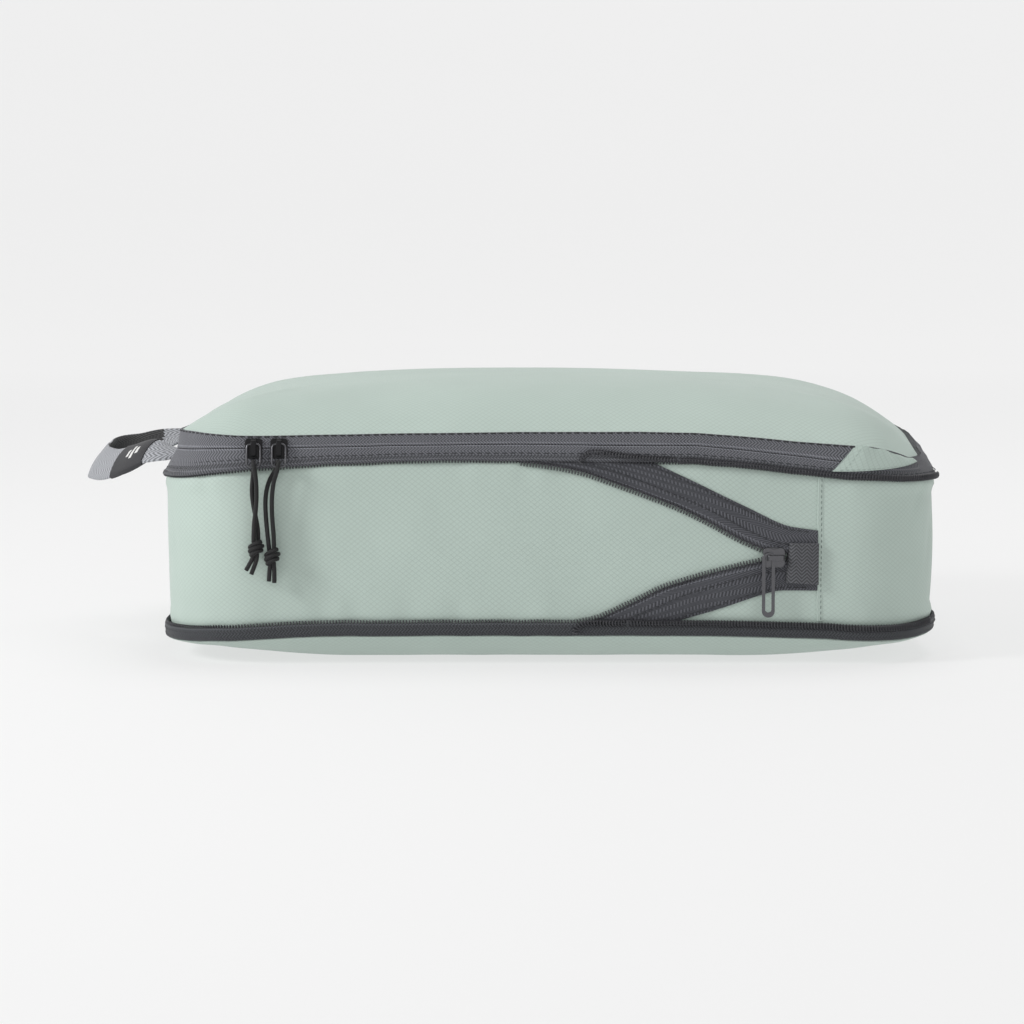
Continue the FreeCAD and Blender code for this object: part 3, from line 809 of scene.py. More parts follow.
def make_lid_panel():
    """The domed lid: full near its edge, almost level in the middle."""
    x, y, s, ring = plan_grid(107, 77, lambda at: 1.0 - 1.4 * LID_TUCK(at))
    tuck = 1.4 * LID_TUCK(s) * np.clip(ring * 3 - 2, 0, 1)
    depth = np.maximum(inset(x, y, 1.0) - tuck, 0)
    from_end = np.maximum(HALF_X - np.abs(x), 0)
    rise = 16.6 * (1 - np.exp(-(depth / 24.0) ** 1.15))
    crown = 7.7 * (1 - np.exp(-(from_end / 85.0) ** 2)) - 1.8 * np.clip((x - 10) / 95, 0, 1)
    rise = rise + crown * (1 - np.exp(-(depth / 20.0) ** 1.5))
    soft = 1.1 * value_noise(x + 500, y + 500, 62.0, 31)
    soft = soft + 0.35 * value_noise(x + 500, y + 500, 24.0, 32)
    tucks = 0.55 * value_noise(s, 0 * s, 7.0, 33, True) * np.exp(-depth / 7.0)
    tucks = tucks * np.clip(depth / 2, 0, 1)
    edge_dip = LID_DIP(s) * np.exp(-depth / 15.0)
    fade = np.clip(depth / 18, 0, 1)
    z = LID_EDGE_Z - 0.4 + rise + soft * fade + tucks + edge_dip
    points = np.stack([x, y, z], -1)
    obj = grid_object("lid_panel_cloth", points, x, y)
    relax_cloth(obj, 0.35, 14, 3.0)
    add_modifier(obj, "SUBSURF", levels=1, render_levels=1)
    add_modifier(obj, "SOLIDIFY", thickness=CLOTH_THICKNESS * MM, offset=-1)
    apply_modifiers(obj)
    finish_mesh(obj.data, 50)
    stand_for(obj, RIPSTOP, "top_panel", "lid")


def make_bottom_panel():
    """The bottom: rises to its seam and sags to the floor in the middle."""
    x, y, s, _ = plan_grid(81, 57, 0.3)
    depth = np.maximum(inset(x, y, 0.3), 0)
    rise = BOTTOM_RIM_Z * np.exp(-depth / 13.0)
    ends = np.clip((np.abs(x) - 95.0) / 70.0, 0, 1)
    rise = rise + 4.2 * ends * ends * (3 - 2 * ends) * np.clip(depth / 14, 0, 1)
    edge = FLOOR_RISE(s) * np.exp(-depth / 12.0)
    soft = 0.35 * np.abs(value_noise(x + 500, y + 500, 30.0, 41)) * np.clip(depth / 10, 0, 1)
    z = np.maximum(rise + edge + soft, 0.05)
    obj = grid_object("bottom_panel_cloth", np.stack([x, y, z], -1), x, y)
    add_modifier(obj, "SUBSURF", levels=1, render_levels=1)
    add_modifier(obj, "SOLIDIFY", thickness=CLOTH_THICKNESS * MM, offset=1)
    apply_modifiers(obj)
    finish_mesh(obj.data, 50)
    stand_for(obj, RIPSTOP, "bottom_panel", "base")


def rim_coil(name, offset, z, half_z, half_offset, side, start=0.0, end=PERIMETER):
    """A coil round the cube; side 1 has its teeth up, -1 down."""
    s = steps_between(start, end, 3.0)
    return coil(name, place(s, offset, z), outward(s), half_z, half_offset, COIL_WIRE, side)


def tape_piece(name, node, body, profile, material, start=0.0, end=PERIMETER, wave=0.18):
    """A zip tape or binding that stands for its CAD node."""
    obj = dress(band(name, profile, start, end, 3.0, wave), material)
    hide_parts(node)
    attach(obj, body)
    return obj


def coil_piece(name, node, body, *shape):
    obj = dress(rim_coil(name, *shape), COIL)
    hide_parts(node)
    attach(obj, body)


def front_normals(count):
    """The front's outward direction, once for each point."""
    return np.repeat([[0.0, -1.0, 0.0]], count, 0)


def end_curl(name, body, points, side):
    """The start of a compression coil, curled back on itself."""
    line, _ = resample(catmull(points, 8), spacing=0.4)
    centre = np.array([front_place(x, offset, z) for x, offset, z in line])
    out = front_normals(len(centre))
    obj = dress(coil(name, centre, out, 1.2, 0.6, COIL_WIRE, side), COIL)
    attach(obj, body)


def thread_piece(name, body, rows, material=None, slot="binding", **settings):
    obj = dress(stitches(name, rows, **settings), material or THREAD)
    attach(obj, body)


def make_base_rim():
    lower = slab(0.3, 1.4, 11.3, 17.4, 0.45)
    tape_piece("lower_rim_tape", "lower_compression_tape", "base", lower, LOWER_TAPE_PAINTED_SHADE)
    coil_piece("lower_rim_coil", "lower_compression_coil", "base", 0.3, 17.3, 1.25, 0.6, 1,
               START_S + 16 - PERIMETER, START_S + 16)
    coil_piece("lower_rim_coil_front", "lower_compression_coil", "base", 1.75, 17.2, 1.25, 0.6, 1,
               START_S + 18, STATIONS[1] + 50)
    end_curl("lower_coil_curl", "base", [(11.7, 2.2, 15.4), (12.4, 2.3, 17.8), (15.4, 2.3, 19.8),
                                        (21.0, 2.1, 20.4), (28.0, 1.9, 20.1), (36.0, 1.75, 19.9)], 1)
    tape_piece("lower_inner_binding", "lower_binding", "base",
               slab(-4.3, -3.4, 11.5, 18.9, 0.3), BINDING)
    thread_piece("lower_rim_thread", "base", [rim_row(1.36, 12.6), rim_row(1.36, 15.2)])


def zip_span():
    """The U-shaped run of the main zip, from its rear end round the left to the front."""
    angle = math.asin((ZIP_END_X - STRAIGHT_X) / (CORNER + 1.0))
    front_end = STATIONS[1] + angle * CORNER
    rear_start = STATIONS[4] - angle * CORNER
    return rear_start, front_end + PERIMETER


def make_top_rim():
    rear, front = zip_span()
    tape_piece("upper_rim_tape", "upper_compression_tape", "top_rim",
               slab(0.3, 1.2, 93.6, 99.4, 0.4), RIM_TAPE)
    coil_piece("upper_rim_coil", "upper_compression_coil", "top_rim", 0.1, 94.0, 1.3, 0.55, -1,
               START_S + 40 - PERIMETER, START_S + 40)
    coil_piece("upper_rim_coil_front", "upper_compression_coil", "top_rim", 1.65, 94.3, 1.3, 0.6,
               -1, START_S + 42, STATIONS[1] + 62)
    end_curl("upper_coil_curl", "top_rim", [(14.3, 2.4, 95.4), (15.6, 2.6, 98.2), (19.4, 2.8, 100.2),
                                           (25.7, 2.6, 99.9), (35.0, 2.3, 98.4), (46.8, 1.9, 97.3),
                                           (60.0, 1.65, 96.4)], -1)
    tape_piece("upper_rim_fold", "upper_seam", "top_rim",
               slab(-2.5, -0.1, 95.0, 99.5, 0.4), RIPSTOP)
    tape_piece("upper_inner_binding", "upper_binding", "top_rim",
               slab(-4.3, -3.5, 92.0, 99.5, 0.3), BINDING)
    tape_piece("main_zip_lower_half", "main_zip_lower_tape", "top_rim",
               slab(0.75, 1.45, 96.6, 101.85, 0.3), MAIN_TAPE_LOW, rear, front, 0.1)
    coil_piece("main_zip_lower_teeth", "main_zip_lower_coil", "top_rim",
               0.1, 101.1, 0.95, 0.6, 1, rear, front)
    thread_piece("rim_thread", "top_rim",
                 [rim_row(1.5, 97.6, rear, front), rim_row(0.95, 96.0)])


def make_lid():
    rear, front = zip_span()
    tape_piece("main_zip_upper_half", "main_zip_upper_tape", "lid",
               slab(0.75, 1.45, 102.1, 108.7, 0.3), MAIN_TAPE_HIGH, rear, front, 0.1)
    coil_piece("main_zip_upper_teeth", "main_zip_upper_coil", "lid",
               0.1, 102.9, 0.95, 0.6, -1, rear, front)
    tape_piece("lid_inner_binding", "lid_binding", "lid",
               slab(-0.1, 0.7, 104.6, 108.5, 0.3), BINDING, rear, front)
    thread_piece("lid_thread", "lid", [rim_row(1.5, 108.2, rear, front)], DARK_THREAD,
                 radius=0.34)
    make_hinge()


def make_hinge():
    """The cloth between the lid and the rim at the right end.

    The bands beside it are rigid, so they part as it opens.
    """
    rear, front = zip_span()
    profile = [(0.75, 97.0), (1.2, 99.0), (1.15, 101.0), (1.0, 103.5), (1.15, 106.0), (1.0, 108.6),
               (0.1, 108.6), (0.1, 106.0), (0.0, 103.5), (0.1, 101.0), (0.1, 99.0), (0.0, 97.0)]
    first, last = STATIONS[1] + HINGE_START, STATIONS[4] - HINGE_START
    hinge = band("lid_hinge_cloth", profile, first, last, 2.6, 0.25)
    dress(hinge, RIM_TAPE)
    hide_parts("lid_hinge_strip")
    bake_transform(hinge)
    for side, start, end in (("front", front - PERIMETER, first), ("rear", last, rear)):
        tape_piece("rim_band_" + side, "main_zip_lower_tape", "top_rim",
                   slab(0.2, 1.2, 97.0, 101.85, 0.3), RIM_TAPE, start, end, 0.25)
        tape_piece("lid_band_" + side, "main_zip_upper_tape", "lid",
                   slab(0.2, 1.1, 102.0, 108.6, 0.3), RIM_TAPE, start, end, 0.25)


def patch_surface(sign, columns=44, rows=14):
    """The cloth patch over one end of the main zip, as arrays of s, offset and z."""
    t = np.linspace(0, 1, columns)[:, None]
    k = np.linspace(0, 1, rows)[None, :]
    start = 270.8 + 10.8 * k
    end = STATIONS[1] + 43.0
    s = start + (end - start) * t
    top = 108.9 - 0.8 * t - 6.4 * t ** 3 + 0.5 * np.sin(t * 21.0) * (1 - t)
    bottom = 96.2 + 4.6 * t
    z = bottom + (top - bottom) * k
    puff = 1.2 * np.sin(np.pi * np.clip(k * 1.05, 0, 1)) ** 0.7 * (1 - 0.5 * t)
    fold = 0.45 * np.sin(t * 26.0 + 5 * k) * np.exp(-((k - 0.85) / 0.3) ** 2)
    offset = 1.75 + puff * 0.8 + fold + 0 * s
    if sign < 0:
        s = STATIONS[4] + STATIONS[1] - s
    return s, offset, z + 0 * s


def make_patches():
    for name, sign in (("front", 1), ("rear", -1)):
        s, offset, z = patch_surface(sign)
        outer = place(s, offset, z, 0.0)
        inner = place(s, offset * 0 + 1.5, z, 0.0)
        points = np.concatenate([outer, inner[:, ::-1]], 1)
        us = s[:, :1] + 0 * points[:, :, 0]
        vs = np.concatenate([z, z[:, ::-1]], 1)
        patch = grid_object("zip_end_patch_cloth_" + name, points, us, vs, False, True, True, 60)
        stand_for(patch, RIPSTOP, "zip_end_patch_" + name, "top_rim")
        side_s, side_z = s[4, 1:-1], z[4, 1:-1]
        row = (place(side_s, offset[4, 1:-1] + 0.05, side_z, 0.0), outward(side_s))
        low = (place(s[2:-4, 1], offset[2:-4, 1] + 0.05, z[2:-4, 1], 0.0), outward(s[2:-4, 1]))
        thread_piece("zip_end_patch_thread_" + name, "top_rim", [row, low], THREAD_LIGHT, "ripstop",
                     pitch=2.6, radius=0.18)


# ---- the two diagonal zips on the front ---------------------------------------------------
UPPER_LINE = [(-22.0, 92.6), (-6.0, 91.4), (5.0, 89.8), (17.0, 87.2), (28.5, 82.9), (43.0, 77.6),
              (58.3, 71.8), (76.0, 63.6), (88.0, 57.4), (99.5, 52.9), (104.0, 51.9), (125.2, 51.7)]
UPPER_EDGE = [(28.0, 97.2), (40.0, 96.6), (50.0, 92.3), (63.0, 86.4), (76.2, 80.5), (92.0, 73.8),
              (106.0, 67.8), (112.0, 66.2), (125.2, 65.4)]
LOWER_LINE = [(-24.0, 14.6), (-4.0, 15.6), (8.0, 17.0), (22.6, 20.2), (40.4, 28.6), (52.4, 34.8),
              (70.3, 40.6), (86.0, 45.4), (99.0, 49.2), (104.0, 50.3), (125.2, 50.3)]
LOWER_EDGE = [(26.0, 13.0), (42.0, 13.4), (56.0, 16.8), (66.0, 19.8), (76.2, 22.9), (88.0, 27.4),
              (100.0, 32.0), (107.0, 34.2), (125.2, 35.0)]


def front_points(flat, rise):
    """(x, z) pairs on the front wall, with a rise above its cloth."""
    flat = np.asarray(flat, float)
    s = flat[..., 0] + STRAIGHT_X
    z = flat[..., 1]
    return place(s, wall_offset(s, z) + rise, z, 0.0)


def smooth_line(points, count):
    """A rounded line through (x, z) points."""
    line, _ = resample(points, count=count)
    for _ in range(6):
        line[1:-1] = 0.25 * line[:-2] + 0.5 * line[1:-1] + 0.25 * line[2:]
    return line


def diagonal_tape(name, node, line, edge, side, columns=110, rows=12):
    """A tape between its tooth line and its sewn edge."""
    tooth = smooth_line(line, columns) + np.array([0, side * 1.1])
    sewn = smooth_line(edge, columns)
    k = np.linspace(0, 1, rows)[None, :, None]
    flat = tooth[:, None, :] * (1 - k) + sewn[:, None, :] * k
    uneven = value_noise(flat[..., 0] + 90, flat[..., 1], 17.0, 51)
    lift = 1.5 - 0.7 * k[..., 0] + 0.45 * np.sin(np.pi * k[..., 0]) + 0.3 * uneven
    outer = front_points(flat, lift)
    inner = front_points(flat, lift - 0.6)
    points = np.concatenate([outer, inner[:, ::-1]], 1)
    along = running_lengths(tooth)
    across = np.linalg.norm(flat - tooth[:, None, :], axis=-1)
    us = np.repeat(along[:, None], 2 * rows, 1)
    vs = np.concatenate([across, across[:, ::-1]], 1)
    tape = grid_object(name, points, us, vs, False, True, True, 60)
    dress(tape, DIAGONAL_TAPE)
    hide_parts(node)
    bend_with_rim(tape)
    rows_of_thread = []
    for share in (0.36, 0.9):
        at = tooth * (1 - share) + sewn * share
        at = at[4:-2]
        rows_of_thread.append((front_points(at, 2.0 if share < 0.5 else 1.15),
                               front_normals(len(at))))
    thread = dress(stitches(name + "_thread", rows_of_thread, 3.4), THREAD)
    bend_with_rim(thread)


def diagonal_coil(name, node, line, side):
    """The teeth along a diagonal's inner edge."""
    middle = smooth_line(line, 110)[6:-1]
    middle = middle + np.array([0, side * 0.7])
    centre = front_points(middle, 1.35)
    out = front_normals(len(centre))
    teeth = dress(coil(name, centre, out, 1.3, 0.55, COIL_WIRE, -side), COIL)
    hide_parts(node)
    bend_with_rim(teeth)


def make_diagonals():
    diagonal_tape("upper_diagonal_cloth", "upper_diagonal_tape", UPPER_LINE, UPPER_EDGE, 1)
    diagonal_tape("lower_diagonal_cloth", "lower_diagonal_tape", LOWER_LINE, LOWER_EDGE, -1)
    diagonal_coil("upper_diagonal_teeth", "upper_diagonal_coil", UPPER_LINE, 1)
    diagonal_coil("lower_diagonal_teeth", "lower_diagonal_coil", LOWER_LINE, -1)


# ---- hardware -----------------------------------------------------------------------------
def front_place(x, offset, z):
    """A point on the front in millimetres, from its offset."""
    return np.array([x, -HALF_Y - offset, z])


def plate(name, corners, low, high, bevel=0.25, segments=3):
    """A flat piece on the front from (x, z) corners, with rounded edges."""
    count = len(corners)
    points = [front_place(x, high, z) for x, z in corners]
    points += [front_place(x, low, z) for x, z in corners]
    faces = [list(range(count)), list(range(2 * count - 1, count - 1, -1))]
    faces += [[k, (k + 1) % count, (k + 1) % count + count, k + count] for k in range(count)]
    obj = mesh_object(name, points, faces)
    add_modifier(obj, "BEVEL", width=bevel * MM, segments=segments, limit_method="ANGLE",
                 angle_limit=math.radians(40))
    return obj


def join(name, parts):
    """One object from several, with their modifiers applied."""
    graph = bpy.context.evaluated_depsgraph_get()
    work = bmesh.new()
    for part in parts:
        mesh = bpy.data.meshes.new_from_object(part.evaluated_get(graph))
        work.from_mesh(mesh)
        bpy.data.meshes.remove(mesh)
    for part in parts:
        bpy.data.objects.remove(part)
    mesh = bpy.data.meshes.new(name)
    work.to_mesh(mesh)
    work.free()
    finish_mesh(mesh, 40)
    return new_object(name, mesh)


def rounded_rect(x0, x1, z0, z1, r, count=5, waist=0.0):
    """Corners of a rounded rectangle, drawn in at mid-width by waist."""
    points = []
    for cx, cz, start in ((x1 - r, z1 - r, 0), (x0 + r, z1 - r, 90), (x0 + r, z0 + r, 180),
                          (x1 - r, z0 + r, 270)):
        for a in np.radians(np.linspace(start, start + 90, count)):
            points.append((cx + r * math.cos(a), cz + r * math.sin(a)))
        if waist:
            if start == 0:
                points.append(((x0 + x1) / 2, z1 - waist))
            if start == 180:
                points.append(((x0 + x1) / 2, z0 + waist))
    return points


def closed_wire(name, points, radius):
    """A round wire bent into a closed loop through points in millimetres."""
    curve = bpy.data.curves.new(name, "CURVE")
    curve.dimensions = "3D"
    curve.bevel_depth = radius * MM
    curve.bevel_resolution = 4
    curve.resolution_u = 8
    spline = curve.splines.new("BEZIER")
    spline.bezier_points.add(len(points) - 1)
    for knot, point in zip(spline.bezier_points, points):
        knot.co = Vector(point) * MM
        knot.handle_left_type = knot.handle_right_type = "AUTO"
    spline.use_cyclic_u = True
    curve.use_fill_caps = False
    return new_object(name, curve)


def upright_place(offset, z, x):
    """A point on the front, for a strip that runs up and down."""
    return front_place(x, offset, z)


def arch(name, place_at, low, high, route, side=1, bevel=0.22):
    """A bent metal strip along a route of pairs, from low to high across it."""
    count = len(route)
    centre = np.array(route, float)
    direction = unit(np.gradient(centre, axis=0))
    normal = np.stack([direction[:, 1], -direction[:, 0]], -1) * STRIP_HALF_THICKNESS * side
    ring = np.concatenate([centre + normal, (centre - normal)[::-1]])
    points = [place_at(*pair, edge) for edge in (low, high) for pair in ring]
    total = 2 * count
    faces = [[k, (k + 1) % total, (k + 1) % total + total, k + total] for k in range(total)]
    for k in range(count - 1):
        faces.append([k, k + 1, total - 2 - k, total - 1 - k])
        faces.append([total + k, 2 * total - 1 - k, 2 * total - 2 - k, total + k + 1])
    obj = mesh_object(name, points, faces)
    add_modifier(obj, "BEVEL", width=bevel * MM, segments=3, limit_method="ANGLE",
                 angle_limit=math.radians(50))
    return obj


def make_main_slider(side, x):
    """A small zip slider with side flanges, a bridge and an inner plate."""
    parts = [
        plate("a", rounded_rect(x - 4.0, x + 4.0, 97.2, 106.8, 1.6, 5, 0.9), 1.75, 2.6),
        plate("b", rounded_rect(x - 4.0, x + 4.0, 99.8, 104.6, 1.2), -2.2, -1.3),
        plate("c", rounded_rect(x - 0.8, x + 0.8, 101.6, 102.4, 0.3, 3), -1.5, 1.9, 0.1),
    ]
    for low, high in ((97.3, 98.1), (105.9, 106.7)):
        parts.append(plate("d", rounded_rect(x - 2.9, x + 2.9, low, high, 0.35, 3), 1.55, 2.5, 0.1))
    body = join("slider_" + side + "_shell", parts)
    stand_for(body, BLACK_METAL, "slider_" + side + "_body", "slider_" + side)
    route = [(2.4, 98.7), (3.4, 98.6), (4.2, 99.1), (4.55, 100.2), (4.62, 102.3), (4.55, 104.4),
             (4.2, 105.5), (3.4, 106.0), (2.4, 105.9)]
    crown = arch("slider_" + side + "_bridge", upright_place, x - 1.2, x + 1.2, route)
    stand_for(crown, BLACK_METAL, "slider_" + side + "_crown", "slider_" + side)


def make_ring(side, x):
    """The wire loop that joins a slider to its cord."""
    drop = RING_TOP_Z - RING_LOW_Z
    lean = 5.65 - 3.3
    half, r = 3.1, 1.7
    flat = rounded_rect(-half, half, -drop, 0.0, r, 5)
    points = [front_place(x + px, 3.3 - pz * lean / drop, RING_TOP_Z + pz) for px, pz in flat]
    ring = closed_wire("ring_" + side + "_wire", points, 0.5)
    stand_for(ring, GUNMETAL, "ring_" + side, "ring_" + side)


RIGHT_ROUTE = [(-4.6, 5.9, 54.6), (-5.3, 5.9, 61.0), (-6.2, 5.6, 71.0), (-6.4, 5.0, 80.0),
               (-4.8, 3.9, 87.0), (-1.8, 3.4, 91.8), (-0.4, 3.4, 96.1), (0.2, 7.9, 96.1),
               (-0.6, 7.9, 91.6), (-2.4, 7.6, 86.6), (-3.3, 6.8, 78.0), (-3.1, 6.2, 69.0),
               (-2.4, 5.9, 61.0), (-2.4, 5.9, 54.6)]
LEFT_ROUTE = [(2.0, 5.4, 58.4), (2.1, 5.1, 63.0), (1.2, 4.8, 69.0), (-0.3, 4.8, 76.0),
              (-0.9, 4.6, 82.4), (-0.5, 3.9, 87.6), (-0.1, 3.4, 91.8), (0.0, 3.4, 96.1),
              (0.2, 7.9, 96.1), (0.9, 7.5, 91.6), (1.4, 6.6, 86.8), (1.5, 6.2, 80.0),
              (1.1, 6.9, 73.0), (0.1, 7.2, 66.0), (0.0, 6.8, 58.4)]


def nurbs(name, routes, diameter):
    """A round cord along each route, as one curve object."""
    curve = bpy.data.curves.new(name, "CURVE")
    curve.dimensions = "3D"
    curve.bevel_depth = diameter / 2 * MM
    curve.bevel_resolution = 4
    curve.resolution_u = 10
    curve.use_fill_caps = True
    for route in routes:
        spline = curve.splines.new("NURBS")
        spline.points.add(len(route) - 1)
        for knot, point in zip(spline.points, route):
            knot.co = (*(Vector(point) * MM), 1)
        spline.order_u = 3
        spline.use_endpoint_u = True
    return new_object(name, curve)


def knot_routes(x, low, high, tails):
    """An overhand knot: wraps round the strands, a crossing turn and two tails."""
    routes = []
    turns = 2.4
    wraps = []
    for k in range(28):
        t = k / 27
        a = 2 * math.pi * turns * t + 0.4
        radius = 2.4 + 0.6 * math.sin(math.pi * t) + 0.2 * math.sin(2.4 * a)
        z = high - 1.3 - (high - low - 3.0) * t + 1.1 * math.sin(a + 0.9)
        wraps.append(front_place(x + radius * math.cos(a), 6.0 + 0.85 * radius * math.sin(a), z))
    routes.append(wraps)
    middle = (low + high) / 2
    routes.append([front_place(x - 1.0, 6.2, high - 0.6), front_place(x + 0.9, 6.6, middle + 1.4),
                   front_place(x - 0.8, 6.4, middle - 1.4), front_place(x + 0.8, 6.2, low + 0.6)])
    for dx, lean, bottom in tails:
        routes.append([front_place(x + dx * 0.4, 6.0, low + 3.0),
                       front_place(x + dx * 0.8, 6.2, low + 0.6),
                       front_place(x + dx + lean * 0.5, 6.2, (low + bottom) / 2),
                       front_place(x + dx + lean, 6.0, bottom)])
    return routes


def make_pull(side, x, route, knot_x, low, high, tails):
    points = [front_place(x + dx, o, z) for dx, o, z in route]
    cord = nurbs("cord_" + side + "_loop", [points], CORD_DIAMETER)
    stand_for(cord, CORD, "cord_" + side, "cord_" + side)
    knot = nurbs("knot_" + side + "_turns", knot_routes(knot_x, low, high, tails),
                 CORD_DIAMETER)
    stand_for(knot, CORD, "knot_" + side, "cord_" + side)


def make_main_pulls():
    make_main_slider("left", LEFT_SLIDER_X)
    make_main_slider("right", RIGHT_SLIDER_X)
    make_ring("left", LEFT_SLIDER_X)
    make_ring("right", RIGHT_SLIDER_X)
    make_pull("left", LEFT_SLIDER_X, LEFT_ROUTE, -137.0, 51.4, 59.2,
              [(-1.3, -3.4, 45.4), (0.9, -3.2, 43.6)])
    make_pull("right", RIGHT_SLIDER_X, RIGHT_ROUTE, -129.5, 47.4, 55.6,
              [(-1.2, -0.4, 40.3), (1.1, -0.2, 39.6)])


def make_compression_slider():
    """The metal slider on the diagonals with its looped pull."""
    parts = [
        plate("a", rounded_rect(99.4, 109.6, 46.2, 55.8, 2.2, 6, 0.8), 2.55, 3.3, 0.3),
        plate("b", rounded_rect(99.4, 109.6, 46.2, 55.8, 1.6), -2.2, -1.3),
        plate("c", rounded_rect(100.2, 101.6, 50.6, 51.4, 0.3, 3), -1.5, 2.7, 0.1),
        plate("d", rounded_rect(101.0, 108.6, 46.3, 47.2, 0.35, 3), 1.3, 2.8, 0.1),
        plate("e", rounded_rect(101.0, 108.6, 54.8, 55.7, 0.35, 3), 1.3, 2.8, 0.1),
    ]
    body = join("compression_slider_shell", parts)
    stand_for(body, GUNMETAL, "compression_slider_body", "compression_slider")
    route = [(101.9, 3.2), (101.5, 4.4), (102.2, 5.2), (104.0, 5.45), (106.5, 5.4), (108.6, 4.8),
             (109.0, 3.2)]
    bridge = arch("compression_slider_bridge", front_place, 49.7, 52.3, route, -1, 0.25)
    stand_for(bridge, GUNMETAL, "compression_slider_crown", "compression_slider")
    make_compression_pull()


def make_compression_pull():
    """A flat oval loop with rounded edges."""
    x = 101.9
    outer = rounded_rect(x - 3.0, x + 3.0, 23.0, 53.6, 2.95, 9)
    inner = rounded_rect(x - 1.45, x + 1.45, 25.4, 52.2, 1.4, 9)
    section = [(0.0, 3.75), (0.12, 3.6), (0.88, 3.6), (1.0, 3.75), (1.0, 4.55), (0.88, 4.7),
               (0.12, 4.7), (0.0, 4.55)]
    points = np.zeros((len(outer), len(section), 3))
    for k, (share, offset) in enumerate(section):
        for i, (far, near) in enumerate(zip(outer, inner)):
            px = near[0] * (1 - share) + far[0] * share
            pz = near[1] * (1 - share) + far[1] * share
            points[i, k] = front_place(px, offset, pz)
    pull = grid_object("compression_pull_loop", points, np.arange(len(outer) + 1), np.arange(9),
                       True, True, False, 50)
    stand_for(pull, GUNMETAL, "compression_pull", "compression_pull")


def make_garage_tab():
    """The folded grosgrain tab beside the compression slider."""
    left = smooth_line([(110.2, 38.6), (110.6, 45.0), (111.3, 52.0), (111.9, 58.2)], 24)
    right = smooth_line([(125.6, 38.2), (125.5, 45.0), (125.5, 52.0), (125.6, 59.2)], 24)
    k = np.linspace(0, 1, 16)[None, :, None]
    flat = left[:, None, :] * (1 - k) + right[:, None, :] * k
    share = k[..., 0]
    lift = 2.3 + 1.1 * np.sqrt(np.clip(share * 6, 0, 1)) - 1.3 * share ** 3
    lift = lift + 0.12 * value_noise(flat[..., 0], flat[..., 1], 7.0, 61)
    outer = place(flat[..., 0] + STRAIGHT_X, lift, flat[..., 1], 0.0)
    inner = place(flat[..., 0] + STRAIGHT_X, np.minimum(lift - 0.8, 2.2), flat[..., 1], 0.0)
    points = np.concatenate([outer, inner[:, ::-1]], 1)
    us = np.repeat(flat[:, :1, 1], 32, 1)
    vs = np.concatenate([flat[..., 0], flat[:, ::-1, 0]], 1)
    tab = grid_object("slider_garage_cloth", points, us, vs, False, True, True, 60)
    stand_for(tab, GROSGRAIN, "slider_garage_tab", "gusset_middle")
    z = np.linspace(39.6, 58.0, 30)
    rows = []
    for x, lift_row in ((123.2, 2.35), (121.6, 2.6)):
        rows.append((place(x + STRAIGHT_X + 0 * z, lift_row, z, 0.0), outward(x + STRAIGHT_X + 0 * z)))
    thread_piece("slider_garage_thread", "gusset_middle", rows, pitch=1.8)


# ---- handle -------------------------------------------------------------------------------
HANDLE_LINE = [
    # x, y, z, lean of the strap's width from level, in degrees
    (-183.0, -45.5, 93.4, 6), (-190.0, -45.0, 94.0, 20), (-197.0, -42.0, 94.0, 33),
    (-204.5, -36.5, 91.2, 43), (-212.5, -27.5, 87.8, 49), (-220.5, -16.5, 86.0, 51),
    (-226.5, -5.0, 85.8, 53), (-227.5, 6.0, 86.0, 62), (-223.0, 16.5, 86.2, 86),
    (-215.5, 26.5, 89.2, 124), (-207.5, 35.5, 92.4, 149), (-199.5, 42.5, 95.0, 159),
    (-191.5, 46.5, 96.6, 165), (-183.0, 47.0, 96.8, 172)]


def catmull(points, per_span=10):
    """A smooth line through points with any number of columns."""
    points = np.asarray(points, float)
    padded = np.vstack([2 * points[0] - points[1], points, 2 * points[-1] - points[-2]])
    result = []
    for k in range(len(points) - 1):
        p0, p1, p2, p3 = padded[k:k + 4]
        for t in np.linspace(0, 1, per_span, endpoint=False):
            result.append(0.5 * (2 * p1 + (p2 - p0) * t + (2 * p0 - 5 * p1 + 4 * p2 - p3) * t ** 2
                                 + (3 * p1 - p0 - 3 * p2 + p3) * t ** 3))
    result.append(points[-1])
    return np.array(result)


